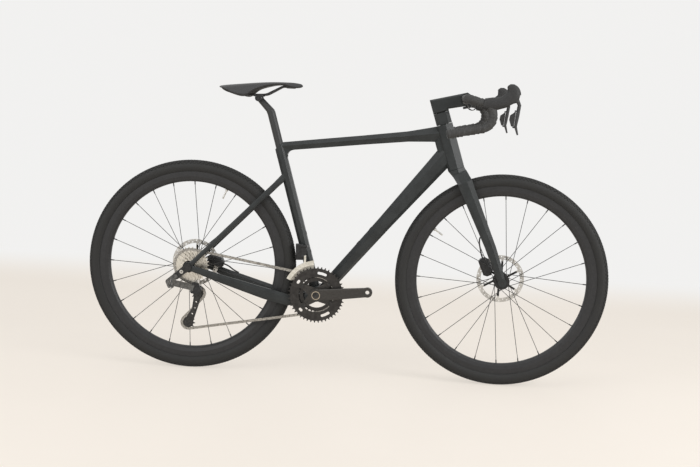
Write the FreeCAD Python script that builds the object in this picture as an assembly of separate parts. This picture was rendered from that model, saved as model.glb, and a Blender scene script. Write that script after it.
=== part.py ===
import FreeCAD, Part
import math
import os

Vector = FreeCAD.Vector

# Gravel bike. Millimetres and degrees; X forward, Y to the rider's left, Z up.
# The origin lies on the ground, midway between the two wheel contact points.

# Layout
WHEELBASE = 1046.0
CHAINSTAY_LENGTH = 438.0
BB_DROP = 74.0
HEAD_ANGLE = 72.0
FORK_OFFSET = 48.0
AXLE_TO_CROWN = 401.0
HEAD_TUBE_LENGTH = 152.0
SEAT_ANGLE = 73.7
SEAT_SETBACK = 4.8
SEAT_TUBE_LENGTH = 510.0
RUNNING_FIT = 0.05
SEAM_GAP = 0.3

# Wheels
TYRE_RADIUS = 355.0
TYRE_WIDTH = 45.0
TYRE_WALL = 2.5
BEAD_RADIUS = 311.0
BEAD_THICKNESS = 3.2
RIM_FLANGE = 6.0
RIM_FLANGE_WALL = 3.0
RIM_DEPTH = 34.7
RIM_WIDTH = 30.0
RIM_WALL = 2.5
SPOKE_COUNT = 24
SPOKE_CROSSES = 2
SPOKE_RADIUS = 1.0
NIPPLE_RADIUS = 1.9
NIPPLE_LENGTH = 12.0
VALVE_RADIUS = 2.8
VALVE_LENGTH = 34.0
VALVE_NUT_LENGTH = 5.0
VALVE_NUT_RADIUS = 5.32
VALVE_NUT_GAP = 0.1
FRONT_VALVE_ANGLE = -55.0
REAR_VALVE_ANGLE = 23.0
AXLE_RADIUS = 6.0
AXLE_HEAD_RADIUS = 9.0
AXLE_HEAD_LENGTH = 5.0
HUB_BARREL_RADIUS = 13.0
HUB_END_RADIUS = 9.0
HUB_STEP = 4.0
FRONT_HUB_INSET = 8.0
REAR_HUB_GAP = 2.5
FLANGE_RADIUS = 26.0
FLANGE_HOLE_RADIUS = 22.5
FLANGE_THICKNESS = 3.2
FRONT_SPACING = 100.0
REAR_SPACING = 142.0
FRONT_FLANGES = (23.0, -34.0)
REAR_FLANGES = (34.0, -18.0)

# Brakes
ROTOR_RADIUS = 80.0
ROTOR_BAND = 14.0
ROTOR_THICKNESS = 1.8
ROTOR_ARMS = 6
ROTOR_ARM_WIDTH = 7.0
ROTOR_HOLES = 36
ROTOR_HOLE_RADIUS = 2.2
ROTOR_SEAT_RADIUS = 16.0
ROTOR_SHOULDER = 3.0
ROTOR_CORE = 8.0
ROTOR_ARM_LEAN = 4.0
LOCKRING_RADIUS = 19.5
LOCKRING_LENGTH = 4.0
FRONT_ROTOR_Y = 39.0
REAR_ROTOR_Y = 54.0
FRONT_CALIPER_SIZE = (64.0, 36.0)
REAR_CALIPER_SIZE = (58.0, 40.0)
REAR_CALIPER_PLACE = (70.5, 6.0)
REAR_CALIPER_SEAT = 9.0
CALIPER_WIDTH = 30.0
CALIPER_BEVEL = 5.0
CALIPER_GAP = 0.4
PAD_LENGTH = 24.0
PAD_DEPTH = 17.0
PAD_THICKNESS = 3.4
PAD_ROTOR_GAP = 0.5
PAD_SLOT_GAP = 0.2
FRONT_CALIPER_REACH = 62.0
HOSE_RADIUS = 2.5

# Frame tubes: share along the tube from its lower or rear end, depth and width there
TOP_TUBE = ((0.0, 28.0, 32.0), (0.25, 29.5, 34.0), (0.5, 30.3, 36.0), (0.77, 34.0, 40.0),
            (0.9, 46.0, 43.0), (1.0, 58.0, 45.0))
DOWN_TUBE = ((0.0, 39.0, 58.0), (0.14, 42.0, 58.0), (0.5, 47.5, 56.0), (0.88, 61.0, 52.0),
             (1.0, 67.0, 49.0))
DOWN_TUBE_RISE = 3.5
TOP_TUBE_BELOW_SEAT = 1.5
TOP_TUBE_BELOW_HEAD = 31.0
DOWN_TUBE_AHEAD = 9.0
DOWN_TUBE_BELOW = 9.0
DOWN_TUBE_ABOVE_CROWN = 61.0
SEAT_TUBE_DEPTH = 32.7
SEAT_TUBE_WIDTH = 36.0
SEAT_TOP_SLOPE = 38.0
HEAD_FORE = 27.0
HEAD_AFT = 28.0
HEAD_HALF_WIDTH_TOP = 24.0
HEAD_HALF_WIDTH_LOW = 27.5
HEAD_NOSE_HALF_WIDTH = 12.0
WEB_RADIUS = 22.0
WEB_WIDTH = 24.0
GUSSET_BACK = 45.0
GUSSET_LOW = 71.0
GUSSET_HIGH = 105.0
GUSSET_WIDTH = 38.0
GUSSET_SLOPE = 15.0
GUSSET_BEVEL = 3.0
SHELL_RADIUS = 25.0
SHELL_WIDTH = 86.5
SHELL_BORE = 20.5
# Stays: share along from the seat tube or crank axle to the rear axle, rise, side offset, depth, width
SEAT_STAY_START = 412.0
SEAT_STAY = ((0.0, 0.0, 9.0, 24.0, 16.0), (0.11, 0.0, 14.0, 19.0, 16.0), (0.2, 0.0, 28.0, 18.0, 14.0),
             (0.27, 0.0, 35.0, 17.0, 13.5), (0.45, 0.0, 46.0, 17.0, 13.0), (0.75, 0.0, 64.0, 16.0, 12.0),
             (0.95, 0.0, 76.0, 15.0, 10.0), (1.0, 0.0, 76.0, 14.0, 9.5))
CHAIN_STAY = ((0.02, -6.0, 28.0, 36.0, 22.0), (0.11, -27.0, 31.0, 38.0, 14.5), (0.2, -41.0, 36.0, 38.0, 13.5),
              (0.395, -34.7, 46.0, 38.0, 14.0), (0.727, -16.4, 65.0, 28.0, 12.0),
              (0.94, -2.5, 76.0, 21.0, 10.0), (1.0, 0.0, 76.0, 17.0, 9.5))
DROPOUT_RADIUS = 15.0
DROPOUT_THICKNESS = 10.0
BOSS_SPACING = 64.0
BOSS_RADIUS = 4.5
BOSS_FLANGE_RADIUS = 6.0
BOSS_FLANGE_HEIGHT = 1.0
BOSS_BORE = 2.1
BOSS_LENGTH = 14.0
DOWN_TUBE_BOSS_SHARE = 0.335
SEAT_TUBE_BOSS_HEIGHT = 142.0

# Fork and headset
STEERER_RADIUS = 14.3
STEERER_WALL = 2.5
CROWN_RACE_RADIUS = 17.0
UPPER_BEARING_RADIUS = 20.8
LOWER_BEARING_RADIUS = 23.4
BEARING_HEIGHT = 8.0
CROWN_GAP = 1.2
# Fork leg: share along from the crown to the front axle, rise forward, side offset, depth, width
FORK_LEG = ((0.0, 6.0, 17.0, 50.0, 28.0), (0.09, 11.0, 34.0, 49.0, 18.0), (0.29, 10.0, 41.0, 43.0, 15.0),
            (0.7, 8.5, 49.5, 34.0, 12.5), (0.9, 3.0, 56.0, 29.0, 12.0), (0.98, 0.0, 56.0, 25.0, 12.0))
FORK_DROPOUT_RADIUS = 14.0
FORK_DROPOUT_THICKNESS = 12.0
CROWN_HEIGHT = 30.0
CROWN_HALF_WIDTH = 26.0
CROWN_FORE = 35.0
CROWN_AFT = 14.0

# Cockpit
COVER_HEIGHT = 40.0
COLUMN_DEPTH = 52.0
COLUMN_WIDTH = 42.0
COLUMN_RISE = 50.0
STEM_BEVEL = 5.0
BAR_FORWARD = 88.0
BAR_ABOVE_JOINT = 20.0
BAR_RADIUS = 11.9
BAR_CLAMP_RADIUS = 15.9
BAR_CLAMP_HALF = 40.0
BAR_TAPER = 30.0
BAR_HALF_WIDTH = 211.0
BAR_CORNER_RADIUS = 38.0
BAR_RAMP_ANGLE = 15.0
BAR_RAMP_LENGTH = 52.0
BAR_HOOK_RADIUS = 40.0
BAR_DROP_ANGLE = 12.0
BAR_DROP_LENGTH = 108.0
BAR_FLARE = 6.0
BAR_WALL = 2.0
FACEPLATE_WALL = 5.4
FACEPLATE_GAP = 0.6
FACEPLATE_BEVEL = 2.0
STEM_CLAMP_HALF = 22.0
STEM_BOLT_RADIUS = 2.0
STEM_BOLT_HEAD_RADIUS = 3.0
STEM_BOLT_HEAD_LENGTH = 4.0
STEM_BOLT_LENGTH = 16.0
TAPE_THICKNESS = 3.0
TAPE_STEP = 0.9
TAPE_WRAPS = 24
TAPE_HOOD_GAP = 0.6
# Lever hood, along its length: forward and up from the bar's ramp corner, tilt, height and width
HOOD = ((50.0, -14.0, -10.0, 35.0, 33.0), (75.0, -14.0, 0.0, 42.0, 34.0), (102.0, -9.0, 12.0, 37.0, 33.0),
        (125.0, 2.0, 35.0, 42.0, 32.0), (139.0, 14.0, 62.0, 46.0, 31.0), (140.0, 31.0, 80.0, 42.0, 29.0),
        (135.0, 45.0, 90.0, 28.0, 22.0), (134.0, 50.0, 90.0, 12.0, 10.0))
HOOD_SIDE = 1.0
BRACKET = ((62.0, -26.0), (62.0, 0.0), (100.0, 3.0), (120.0, 14.0), (128.0, 40.0), (142.0, 38.0),
           (154.0, 16.0), (154.0, -6.0), (112.0, -18.0))
BRACKET_WIDTH = 24.0
BRACKET_BEVEL = 3.0
LEVER_PIVOT = (150.0, 5.0)
LEVER_PIN_RADIUS = 2.5
LEVER_SLOT_WIDTH = 18.0
LEVER_SLOT = ((-14.0, 12.0), (40.0, 12.0), (40.0, -40.0), (-20.0, -40.0), (-20.0, -14.0))
LEVER_ROOT_RADIUS = 7.0
# Brake lever blade: forward and up from the lever pivot, depth, width
LEVER_BLADE = ((0.0, 0.0, 12.0, 15.0), (9.0, -19.0, 11.0, 15.0), (4.75, -52.0, 11.5, 14.0),
               (0.6, -85.0, 8.8, 12.0), (8.5, -111.0, 5.0, 9.0))
PADDLE_OUTLINE = ((-18.0, -51.0), (-20.0, -65.0), (-13.0, -85.0))
PADDLE_HINGE = ((-2.5, -37.0), (-7.0, -88.0))
PADDLE_PIN_RADIUS = 1.2
PADDLE_BARREL = 2.2
PADDLE_THICKNESS = 4.0
PADDLE_LUG_REACH = 7.0
BOX_LENGTH = 30.0
BOX_WIDTH = 16.0
BOX_HEIGHT = 8.0
BOX_BEVEL = 1.5
WIRE_RADIUS = 1.3
WIRE_GAP = 1.2
# Wire loop in front of its box: out, up, and sideways as a multiple of its start
WIRE_LOOP = ((0.0, 0.0, 1.0), (8.0, 0.0, 1.4), (12.0, -9.0, 3.2), (1.0, -15.0, 6.0), (-10.0, -9.0, 9.5))
# Wire end below the bar: forward, sideways, up
WIRE_END = ((0.0, 64.0, -4.0), (1.0, 76.0, 0.0))

# Seat
POST_RADIUS = 13.6
POST_INSERT = 180.0
POST_EXPOSED = 116.0
POST_BORE_DEPTH = 296.0
POST_HEAD_BACK = 41.7
POST_HEAD_UP = 45.5
POST_HEAD_RADIUS = 9.5
POST_HEAD_HALF = 13.0
POST_NECK_RADIUS = 10.5
CLAMP_BOLT_RADIUS = 3.0
CLAMP_EAR_RADIUS = 11.0
CLAMP_EAR_THICKNESS = 15.0
CLAMP_BOLT_HEAD_RADIUS = 5.0
CLAMP_BOLT_HEAD_LENGTH = 3.0
WEDGE_LENGTH = 26.0
WEDGE_DEPTH = 9.0
WEDGE_WIDTH = 14.0
WEDGE_SINK = 4.0
RAIL_RADIUS = 3.5
RAIL_HALF_SPACING = 22.0
RAIL_NOSE_HALF_SPACING = 10.0
RAIL_ABOVE_BOLT = 10.0
RAIL_NOSE_HEIGHT = 41.0
RAIL_SOCKET_LENGTH = 24.0
RAIL_SOCKET_FORE = 92.0
RAIL_SOCKET_WALL = 1.5
# Saddle: forward from the clamp bolt, half width, top, edge and pad depth above the bolt
SADDLE = ((-131.5, 44.0, 35.5, 33.0, 4.0), (-116.5, 62.0, 38.2, 30.5, 7.0), (-86.5, 72.0, 42.2, 19.0, 9.5),
          (-56.5, 73.0, 45.5, 11.0, 10.0), (-36.5, 68.0, 47.7, 11.5, 10.0), (-13.5, 56.0, 50.2, 28.5, 10.0),
          (14.5, 42.0, 52.7, 40.5, 9.0), (47.5, 31.0, 54.9, 48.0, 8.0), (83.5, 24.0, 55.7, 49.5, 7.0),
          (118.5, 20.0, 55.0, 42.0, 8.0), (144.0, 14.0, 51.5, 44.0, 6.0))
SADDLE_SHELL_WALL = 3.0
SADDLE_EDGE = 2.5
SADDLE_CROWN = 0.78

# Drive
CHAIN_PITCH = 12.7
ROLLER_RADIUS = 3.85
ROLLER_GAP = 0.2
TOOTH_HEIGHT = 6.5
TOOTH_ROOT_HALF = 3.0
TOOTH_TIP_HALF = 0.8
PIN_RADIUS = 1.75
PIN_CLEARANCE = 0.2
PLATE_RADIUS = 4.2
PLATE_THICKNESS = 0.7
INNER_GAP = 2.2
PLATE_SPACE = 0.1
CHAIN_LEVEL_LINKS = 2
OUTER_TEETH = 46
INNER_TEETH = 30
OUTER_RING_Y = -50.6
INNER_RING_Y = -43.2
RING_THICKNESS = 2.0
OUTER_RING_BAND = 29.5
INNER_RING_BAND = 12.0
OUTER_BOLT_RADIUS = 55.0
INNER_BOLT_RADIUS = 40.0
RING_TAB_RADIUS = 8.5
# Windows through the outer ring: angle from the right crank arm and half of the angle covered
RING_WINDOWS = ((70.0, 9.0), (-70.0, 9.0), (140.0, 2.0), (-140.0, 2.0))
RING_WINDOW_RADIUS = 73.5
RING_WINDOW_HALF = 4.5
SPIDER_ANGLES = (36.0, 144.0, -144.0, -36.0)
SPIDER_THICKNESS = 3.0
RING_BOLT_RADIUS = 4.0
RING_BOLT_HEAD_RADIUS = 6.0
RING_BOLT_HEAD_LENGTH = 1.5
SPINDLE_RADIUS = 12.0
CUP_FLANGE_RADIUS = 22.0
CUP_FLANGE_LENGTH = 2.5
CRANK_LENGTH = 172.5
CRANK_LIFT = 6.6
CRANK_HUB_RADIUS = 21.0
CRANK_END_RADIUS = 16.5
CRANK_THICKNESS = 13.0
CRANK_BEVEL = 3.0
CRANK_FACE_HUB = 70.0
CRANK_FACE_PEDAL = 76.0
CRANK_CAP_RADIUS = 11.0
CRANK_CAP_HEIGHT = 1.5
SPINDLE_WALL = 3.0
PEDAL_BORE = 6.7
COG_TEETH = (30, 27, 24, 21, 19, 17, 15, 14, 13, 12, 11)
COG_IN_USE = 1
COG_Y = -26.7
COG_PITCH = 3.74
COG_THICKNESS = 1.6
FREEHUB_RADIUS = 17.0
PULLEY_TEETH = 11
PULLEY_THICKNESS = 1.9
PULLEY_PIN_RADIUS = 2.5
PULLEY_BOSS_RADIUS = 6.0
PULLEY_HOLES = 5
PULLEY_HOLE_CIRCLE = 11.5
PULLEY_HOLE_RADIUS = 2.6

# Rear derailleur, from the rear axle: forward and up
HANGER_BOLT = (-19.5, -15.5)
HANGER_PIVOT = (-38.0, -31.5)
HANGER_THICKNESS = 5.0
LINK_REAR = (-52.0, -56.0)
LINK_FRONT = (15.5, -73.0)
CAGE_PIVOT = (31.0, -79.0)
GUIDE_PULLEY = (29.0, -94.0)
TENSION_REACH = 121.0
TENSION_ANGLE = -102.4
LINK_REAR_Y = -71.0
LINK_FRONT_Y = -50.0
LINK_HEIGHT = 20.0
LINK_THICKNESS = 9.0
LINK_PIN_RADIUS = 2.5
CAGE_PLATE = 1.6
CAGE_GAP = 4.6
CAGE_PIN_RADIUS = 5.0
KNUCKLE_RADIUS = 13.0
KNUCKLE_OUTER_Y = -60.0
KNUCKLE_WALL = 4.0
BARREL_RADIUS = 12.0
BARREL_OVERRUN = 10.0
HANGER_HEAD_RADIUS = 7.0
HANGER_HEAD_LENGTH = 4.0
LUG_RADIUS = 8.0
REAR_LUG = 6.0
FRONT_LUG = 5.0
LINK_EYE_RADIUS = 7.0
LINK_CLEARANCE = 1.0
LINK_SWINGS = (-30.0, -15.0, 0.0, 6.0)
REAR_EYE_ROOM = 11.5
FRONT_EYE_ROOM = 8.5
SPINE_HALF = 7.0
SPINE_ROOT = 11.0
# Spines from a knuckle round its lugs: forward and up from the link's pin, radius
REAR_SPINE = ((-13.0, 4.0, 9.0), (-9.0, -12.0, 6.0))
FRONT_SPINE = ((12.0, 9.0, 7.0), (3.0, 13.0, 7.0))
FRONT_FOOT = ((6.0, -14.0, 6.0), (-3.0, -13.0, 6.0))
CAGE_WAIST = 0.55
CAGE_BOW = 6.0
CAGE_GUIDE_RADIUS = 13.0
CAGE_WAIST_RADIUS = 8.0
CAGE_TENSION_RADIUS = 15.0
CAGE_ARM_RADII = (12.0, 12.5)
CAGE_HOLES = (0.3, 0.5)
CAGE_LAST_HOLE = 0.35
CAGE_HOLE_RADIUS = 3.6

# Front derailleur, from the crank axle: forward and up
SHIFTER_BOX = ((-77.0, 166.0), (-50.0, 166.0), (-48.5, 113.0), (-75.0, 112.0))
SHIFTER_BOX_WIDTH = 22.0
SHIFTER_BOX_BEVEL = 3.0
SWING_TOP = 160.0
SWING_LENGTH = 34.0
SWING_Y = -45.5
SWING_BACK = -55.5
SWING_FRONT = -39.5
SWING_PIN_RADIUS = 2.2
SWING_BARREL = 4.2
SWING_PLATE = 4.0
SWING_LUG = 3.3
SWING_LUG_HEIGHT = 6.72
SWING_BRIDGE = 7.0
SWING_BRIDGE_END = 3.0
SWING_ROOM = (16.0, 20.0)
SWING_ROOM_Y = -56.0
FD_PLATE = 1.2
FD_OUTER_Y = -47.6
FD_INNER_Y = -36.4
FD_OUTER_EDGE = 100.0
FD_INNER_EDGE = 82.0
FD_TOP_EDGE = 114.0
FD_FRONT_ANGLE = 97.0
FD_REAR_ANGLE = 154.0
FD_BRIDGE_ANGLES = (101.0, 121.0)
FD_TAIL_ANGLES = (149.0, 151.0)
FD_BRIDGE = 2.0
FD_TAIL_INSET = 4.0
FD_NECK_LOW = 99.18

# Derived places
ALONG_Y = Vector(0, 1, 0)
REAR = Vector(-WHEELBASE / 2, 0, TYRE_RADIUS)
FRONT = Vector(WHEELBASE / 2, 0, TYRE_RADIUS)
CRANK = Vector(REAR.x + math.sqrt(CHAINSTAY_LENGTH ** 2 - BB_DROP ** 2), 0, TYRE_RADIUS - BB_DROP)
STEER_UP = Vector(-math.cos(math.radians(HEAD_ANGLE)), 0, math.sin(math.radians(HEAD_ANGLE)))
STEER_FORE = Vector(STEER_UP.z, 0, -STEER_UP.x)
STEER_FOOT = FRONT - STEER_FORE * FORK_OFFSET
SEAT_UP = Vector(-math.cos(math.radians(SEAT_ANGLE)), 0, math.sin(math.radians(SEAT_ANGLE)))
SEAT_FORE = Vector(SEAT_UP.z, 0, -SEAT_UP.x)
SEAT_FOOT = CRANK - SEAT_FORE * SEAT_SETBACK
HEAD_TOP = AXLE_TO_CROWN + HEAD_TUBE_LENGTH
RIM_FLANGE_RADIUS = BEAD_RADIUS + RIM_FLANGE
RIM_INNER_RADIUS = RIM_FLANGE_RADIUS - RIM_DEPTH


def steer(up, fore=0.0, side=0.0):
    """Point on the steering axis, measured up it from level with the front axle."""
    return STEER_FOOT + STEER_UP * up + STEER_FORE * fore + ALONG_Y * side


def seat(up, fore=0.0, side=0.0):
    """Point on the seat tube axis, measured up it from the crank axle."""
    return SEAT_FOOT + SEAT_UP * up + SEAT_FORE * fore + ALONG_Y * side


def offset(place, fore, up, side=0.0):
    return place + Vector(fore, side, up)


def polygon(points):
    return Part.makePolygon(list(points) + [points[0]])


def cylinder(start, end, radius):
    return Part.makeCylinder(radius, (end - start).Length, start, end - start)


def tube(start, end, outer, inner):
    return cylinder(start, end, outer).cut(cylinder(start, end, inner))


def across(place, y_from, y_to, radius):
    """Cylinder along Y through a place seen from the side."""
    return cylinder(Vector(place.x, y_from, place.z), Vector(place.x, y_to, place.z), radius)


def loft(sections, ruled=True):
    """Solid through closed sections, facing outward whichever way they run."""
    solid = Part.makeLoft(sections, True, ruled)
    if solid.Volume < 0:
        solid = solid.reversed()
    return solid


def join(shapes):
    return shapes[0].multiFuse(shapes[1:]).removeSplitter()


def slab(points, y_from, y_to):
    """Side outline carried straight across from one Y to another."""
    wire = polygon([Vector(p.x, y_from, p.z) for p in points])
    return Part.Face(wire).extrude(Vector(0, y_to - y_from, 0))


def bevelled_slab(points, y_from, y_to, bevel):
    """Side outline carried across, drawn in by a bevel at both faces."""
    low = min(y_from, y_to)
    high = max(y_from, y_to)
    flat = polygon([Vector(p.x, 0, p.z) for p in points])
    inset = flat.makeOffset2D(-bevel, 2)
    wires = []
    for wire, y in ((inset, low), (flat, low + bevel), (flat, high - bevel), (inset, high)):
        placed = wire.copy()
        placed.translate(Vector(0, y, 0))
        wires.append(placed)
    return loft(wires)


def strap(circles, y_from, y_to):
    """Flat bar round a row of circles, each a place seen from the side and a radius."""
    parts = [across(place, y_from, y_to, radius) for place, radius in circles]
    for (first, r_first), (second, r_second) in zip(circles, circles[1:]):
        line = Vector(second.x - first.x, 0, second.z - first.z)
        heading = math.atan2(line.z, line.x)
        spread = math.acos((r_first - r_second) / line.Length)
        corners = []
        for place, radius, side in ((first, r_first, 1), (second, r_second, 1),
                                    (second, r_second, -1), (first, r_first, -1)):
            angle = heading + side * spread
            corners.append(offset(place, radius * math.cos(angle), radius * math.sin(angle)))
        parts.append(slab(corners, y_from, y_to))
    return join(parts)


def turned(centre, profile):
    """Ring about an axle along Y, from a closed outline of Y and radius."""
    points = [Vector(centre.x, y, centre.z + radius) for y, radius in profile]
    return Part.Face(polygon(points)).revolve(centre, ALONG_Y, 360)


def box_section(centre, along, depth, width, top=0.45, ridge=0.5, ridge_low=0.5, foot=0.45):
    """Six or eight sided tube outline across a direction in the side plane.

    top and foot are the flat shares of the width; the widest line lies ridge down from the top
    and, where ridge_low is larger, runs on down the side as a flat to ridge_low.
    """
    up = Vector(-along.z, 0, along.x).normalize()
    half = width / 2
    marks = [(top * half, 0.5), (half, 0.5 - ridge)]
    if ridge_low > ridge:
        marks.append((half * 0.94, 0.5 - ridge_low))
    marks.append((foot * half, -0.5))
    left = [centre + ALONG_Y * y + up * (depth * share) for y, share in marks]
    right = [centre - ALONG_Y * y + up * (depth * share) for y, share in reversed(marks)]
    return polygon(left + right)


def tube_between(start, end, stations, **shape):
    along = end - start
    wires = []
    for share, depth, width in stations:
        wires.append(box_section(start + along * share, along, depth, width, **shape))
    return loft(wires)


def stay(start, end, stations, side):
    """Tapering stay from stations of share, rise, side offset, depth and width."""
    along = end - start
    up = Vector(-along.z, 0, along.x).normalize()
    if up.z < 0:
        up = up * -1
    wires = []
    for share, rise, y, depth, width in stations:
        centre = start + along * share + up * rise + ALONG_Y * (side * y)
        wires.append(box_section(centre, along, depth, width, top=0.5, ridge=0.28, ridge_low=0.72, foot=0.5))
    return loft(wires)


def rounded_path(points, radii):
    """Straight runs joined by tangent arcs, one radius for each inner point."""
    edges = []
    start = points[0]
    for before, corner, after, radius in zip(points, points[1:], points[2:], radii):
        back = (before - corner).normalize()
        ahead = (after - corner).normalize()
        half_turn = back.getAngle(ahead) / 2
        reach = radius / math.tan(half_turn)
        inward = (back + ahead).normalize()
        centre = corner + inward * (radius / math.sin(half_turn))
        arc_start = corner + back * reach
        arc_end = corner + ahead * reach
        if (arc_start - start).Length > 1e-6:
            edges.append(Part.LineSegment(start, arc_start).toShape())
        edges.append(Part.Arc(arc_start, centre - inward * radius, arc_end).toShape())
        start = arc_end
    edges.append(Part.LineSegment(start, points[-1]).toShape())
    return Part.Wire(edges)


def rod(path, radius):
    """Round rod along a path of runs and arcs."""
    first = path.Edges[0]
    start = first.valueAt(first.FirstParameter)
    ring = Part.Wire([Part.Circle(start, first.tangentAt(first.FirstParameter), radius).toShape()])
    return path.makePipeShell([ring], True, False)


def cord(points, radius):
    """Cord whose bends are as large as its runs allow; prints its radii and its volume against its length."""
    radii = []
    for before, corner, after in zip(points, points[1:], points[2:]):
        turn = math.pi - (before - corner).getAngle(after - corner)
        shorter = min((before - corner).Length, (after - corner).Length)
        radii.append(0.45 * shorter / math.tan(turn / 2))
    path = rounded_path(points, radii)
    shape = rod(path, radius)
    print("cord length %.1f, bend radii %s, volume share %.4f" % (
        path.Length, [round(r, 1) for r in radii], shape.Volume / (math.pi * radius ** 2 * path.Length)))
    return shape


def path_frames(path, lengths):
    """Place and direction at each length along a path."""
    frames = []
    for length in lengths:
        left = length
        for edge in path.Edges:
            if left <= edge.Length + 1e-9 or edge is path.Edges[-1]:
                break
            left -= edge.Length
        at = edge.getParameterByLength(min(left, edge.Length))
        frames.append((edge.valueAt(at), edge.tangentAt(at)))
    return frames


def circle_of_arcs(centre, across_axis, up_axis, radius):
    """Circle as four quarter arcs that start on a chosen axis, so that lofts don't twist."""
    def at(turn):
        return centre + across_axis * (radius * math.cos(turn)) + up_axis * (radius * math.sin(turn))
    quarter = math.pi / 2
    arcs = [Part.Arc(at(i * quarter), at((i + 0.5) * quarter), at((i + 1) * quarter)) for i in range(4)]
    return Part.Wire([arc.toShape() for arc in arcs])


def interpolate(stations, share, column):
    """Value in a station table at a share along the tube."""
    for low, high in zip(stations, stations[1:]):
        if share <= high[0]:
            part = (share - low[0]) / (high[0] - low[0])
            return low[column] + (high[column] - low[column]) * part
    return stations[-1][column]


# Frame

def top_tube_ends():
    return seat(SEAT_TUBE_LENGTH - TOP_TUBE_BELOW_SEAT), steer(HEAD_TOP - TOP_TUBE_BELOW_HEAD)


def down_tube_ends():
    start = offset(CRANK, DOWN_TUBE_AHEAD, -DOWN_TUBE_BELOW)
    end = steer(AXLE_TO_CROWN + DOWN_TUBE_ABOVE_CROWN)
    along = end - start
    rise = Vector(-along.z, 0, along.x).normalize() * DOWN_TUBE_RISE
    return start + rise, end + rise


def head_section(up, half_width, fore_reach=HEAD_FORE, aft_reach=HEAD_AFT):
    outline = ((fore_reach, HEAD_NOSE_HALF_WIDTH), (fore_reach * 0.15, half_width),
               (-aft_reach * 0.75, half_width), (-aft_reach, half_width * 0.7))
    left = [steer(up, fore, side) for fore, side in outline]
    right = [steer(up, fore, -side) for fore, side in reversed(outline)]
    return polygon(left + right)


def corner_web(corner, first, second):
    """Rounded infill in the angle between two tubes whose inner edges meet at a corner."""
    first = first.normalize()
    second = second.normalize()
    half_turn = first.getAngle(second) / 2
    reach = WEB_RADIUS / math.tan(half_turn)
    inward = (first + second).normalize()
    centre = corner + inward * (WEB_RADIUS / math.sin(half_turn))
    start = corner + first * reach
    end = corner + second * reach
    sunk = corner - inward * WEB_RADIUS
    edges = [Part.Arc(start, centre - inward * WEB_RADIUS, end).toShape(),
             Part.LineSegment(end, sunk).toShape(),
             Part.LineSegment(sunk, start).toShape()]
    face = Part.Face(Part.Wire(edges))
    face.translate(Vector(0, -WEB_WIDTH / 2, 0))
    return face.extrude(Vector(0, WEB_WIDTH, 0))


def line_crossing(start, along, other, other_along):
    """Where two lines in the side plane cross."""
    across_other = Vector(-other_along.z, 0, other_along.x)
    return start + along * ((other - start).dot(across_other) / along.dot(across_other))


def boss_places():
    """Face point and outward direction of each bottle boss."""
    places = []
    start, end = down_tube_ends()
    along = end - start
    up = Vector(-along.z, 0, along.x).normalize()
    step = BOSS_SPACING / along.Length
    low = interpolate(DOWN_TUBE, DOWN_TUBE_BOSS_SHARE, 1)
    high = interpolate(DOWN_TUBE, DOWN_TUBE_BOSS_SHARE + step, 1)
    out = Vector(up)
    for share, depth in ((DOWN_TUBE_BOSS_SHARE, low), (DOWN_TUBE_BOSS_SHARE + step, high)):
        places.append((start + along * share + up * (depth / 2), out))
    for height in (SEAT_TUBE_BOSS_HEIGHT, SEAT_TUBE_BOSS_HEIGHT + BOSS_SPACING):
        places.append((seat(height, SEAT_TUBE_DEPTH / 2), SEAT_FORE))
    return places


def bottle_bosses():
    bosses = []
    for place, out in boss_places():
        body = cylinder(place - out * BOSS_LENGTH, place, BOSS_RADIUS)
        flange = cylinder(place, place + out * BOSS_FLANGE_HEIGHT, BOSS_FLANGE_RADIUS)
        hole = cylinder(place - out * BOSS_LENGTH, place + out * BOSS_FLANGE_HEIGHT, BOSS_BORE)
        bosses.append(body.fuse(flange).cut(hole))
    return bosses


def wedge_outline():
    """Side outline of the seatpost clamp wedge, from inside the post's bore to the front of its pocket."""
    front = POST_RADIUS + RUNNING_FIT
    sunk = front - WEDGE_SINK
    top = SEAT_TUBE_LENGTH - TOP_TUBE[0][1] / 2
    return [seat(top, sunk), seat(top, front + WEDGE_DEPTH),
            seat(top - WEDGE_LENGTH, front + WEDGE_DEPTH * 0.6), seat(top - WEDGE_LENGTH, sunk)]


def seat_clamp_wedge():
    block = slab(wedge_outline(), -WEDGE_WIDTH / 2, WEDGE_WIDTH / 2)
    return block.cut(cylinder(seat(0), seat(SEAT_TUBE_LENGTH), POST_RADIUS + RUNNING_FIT))


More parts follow.
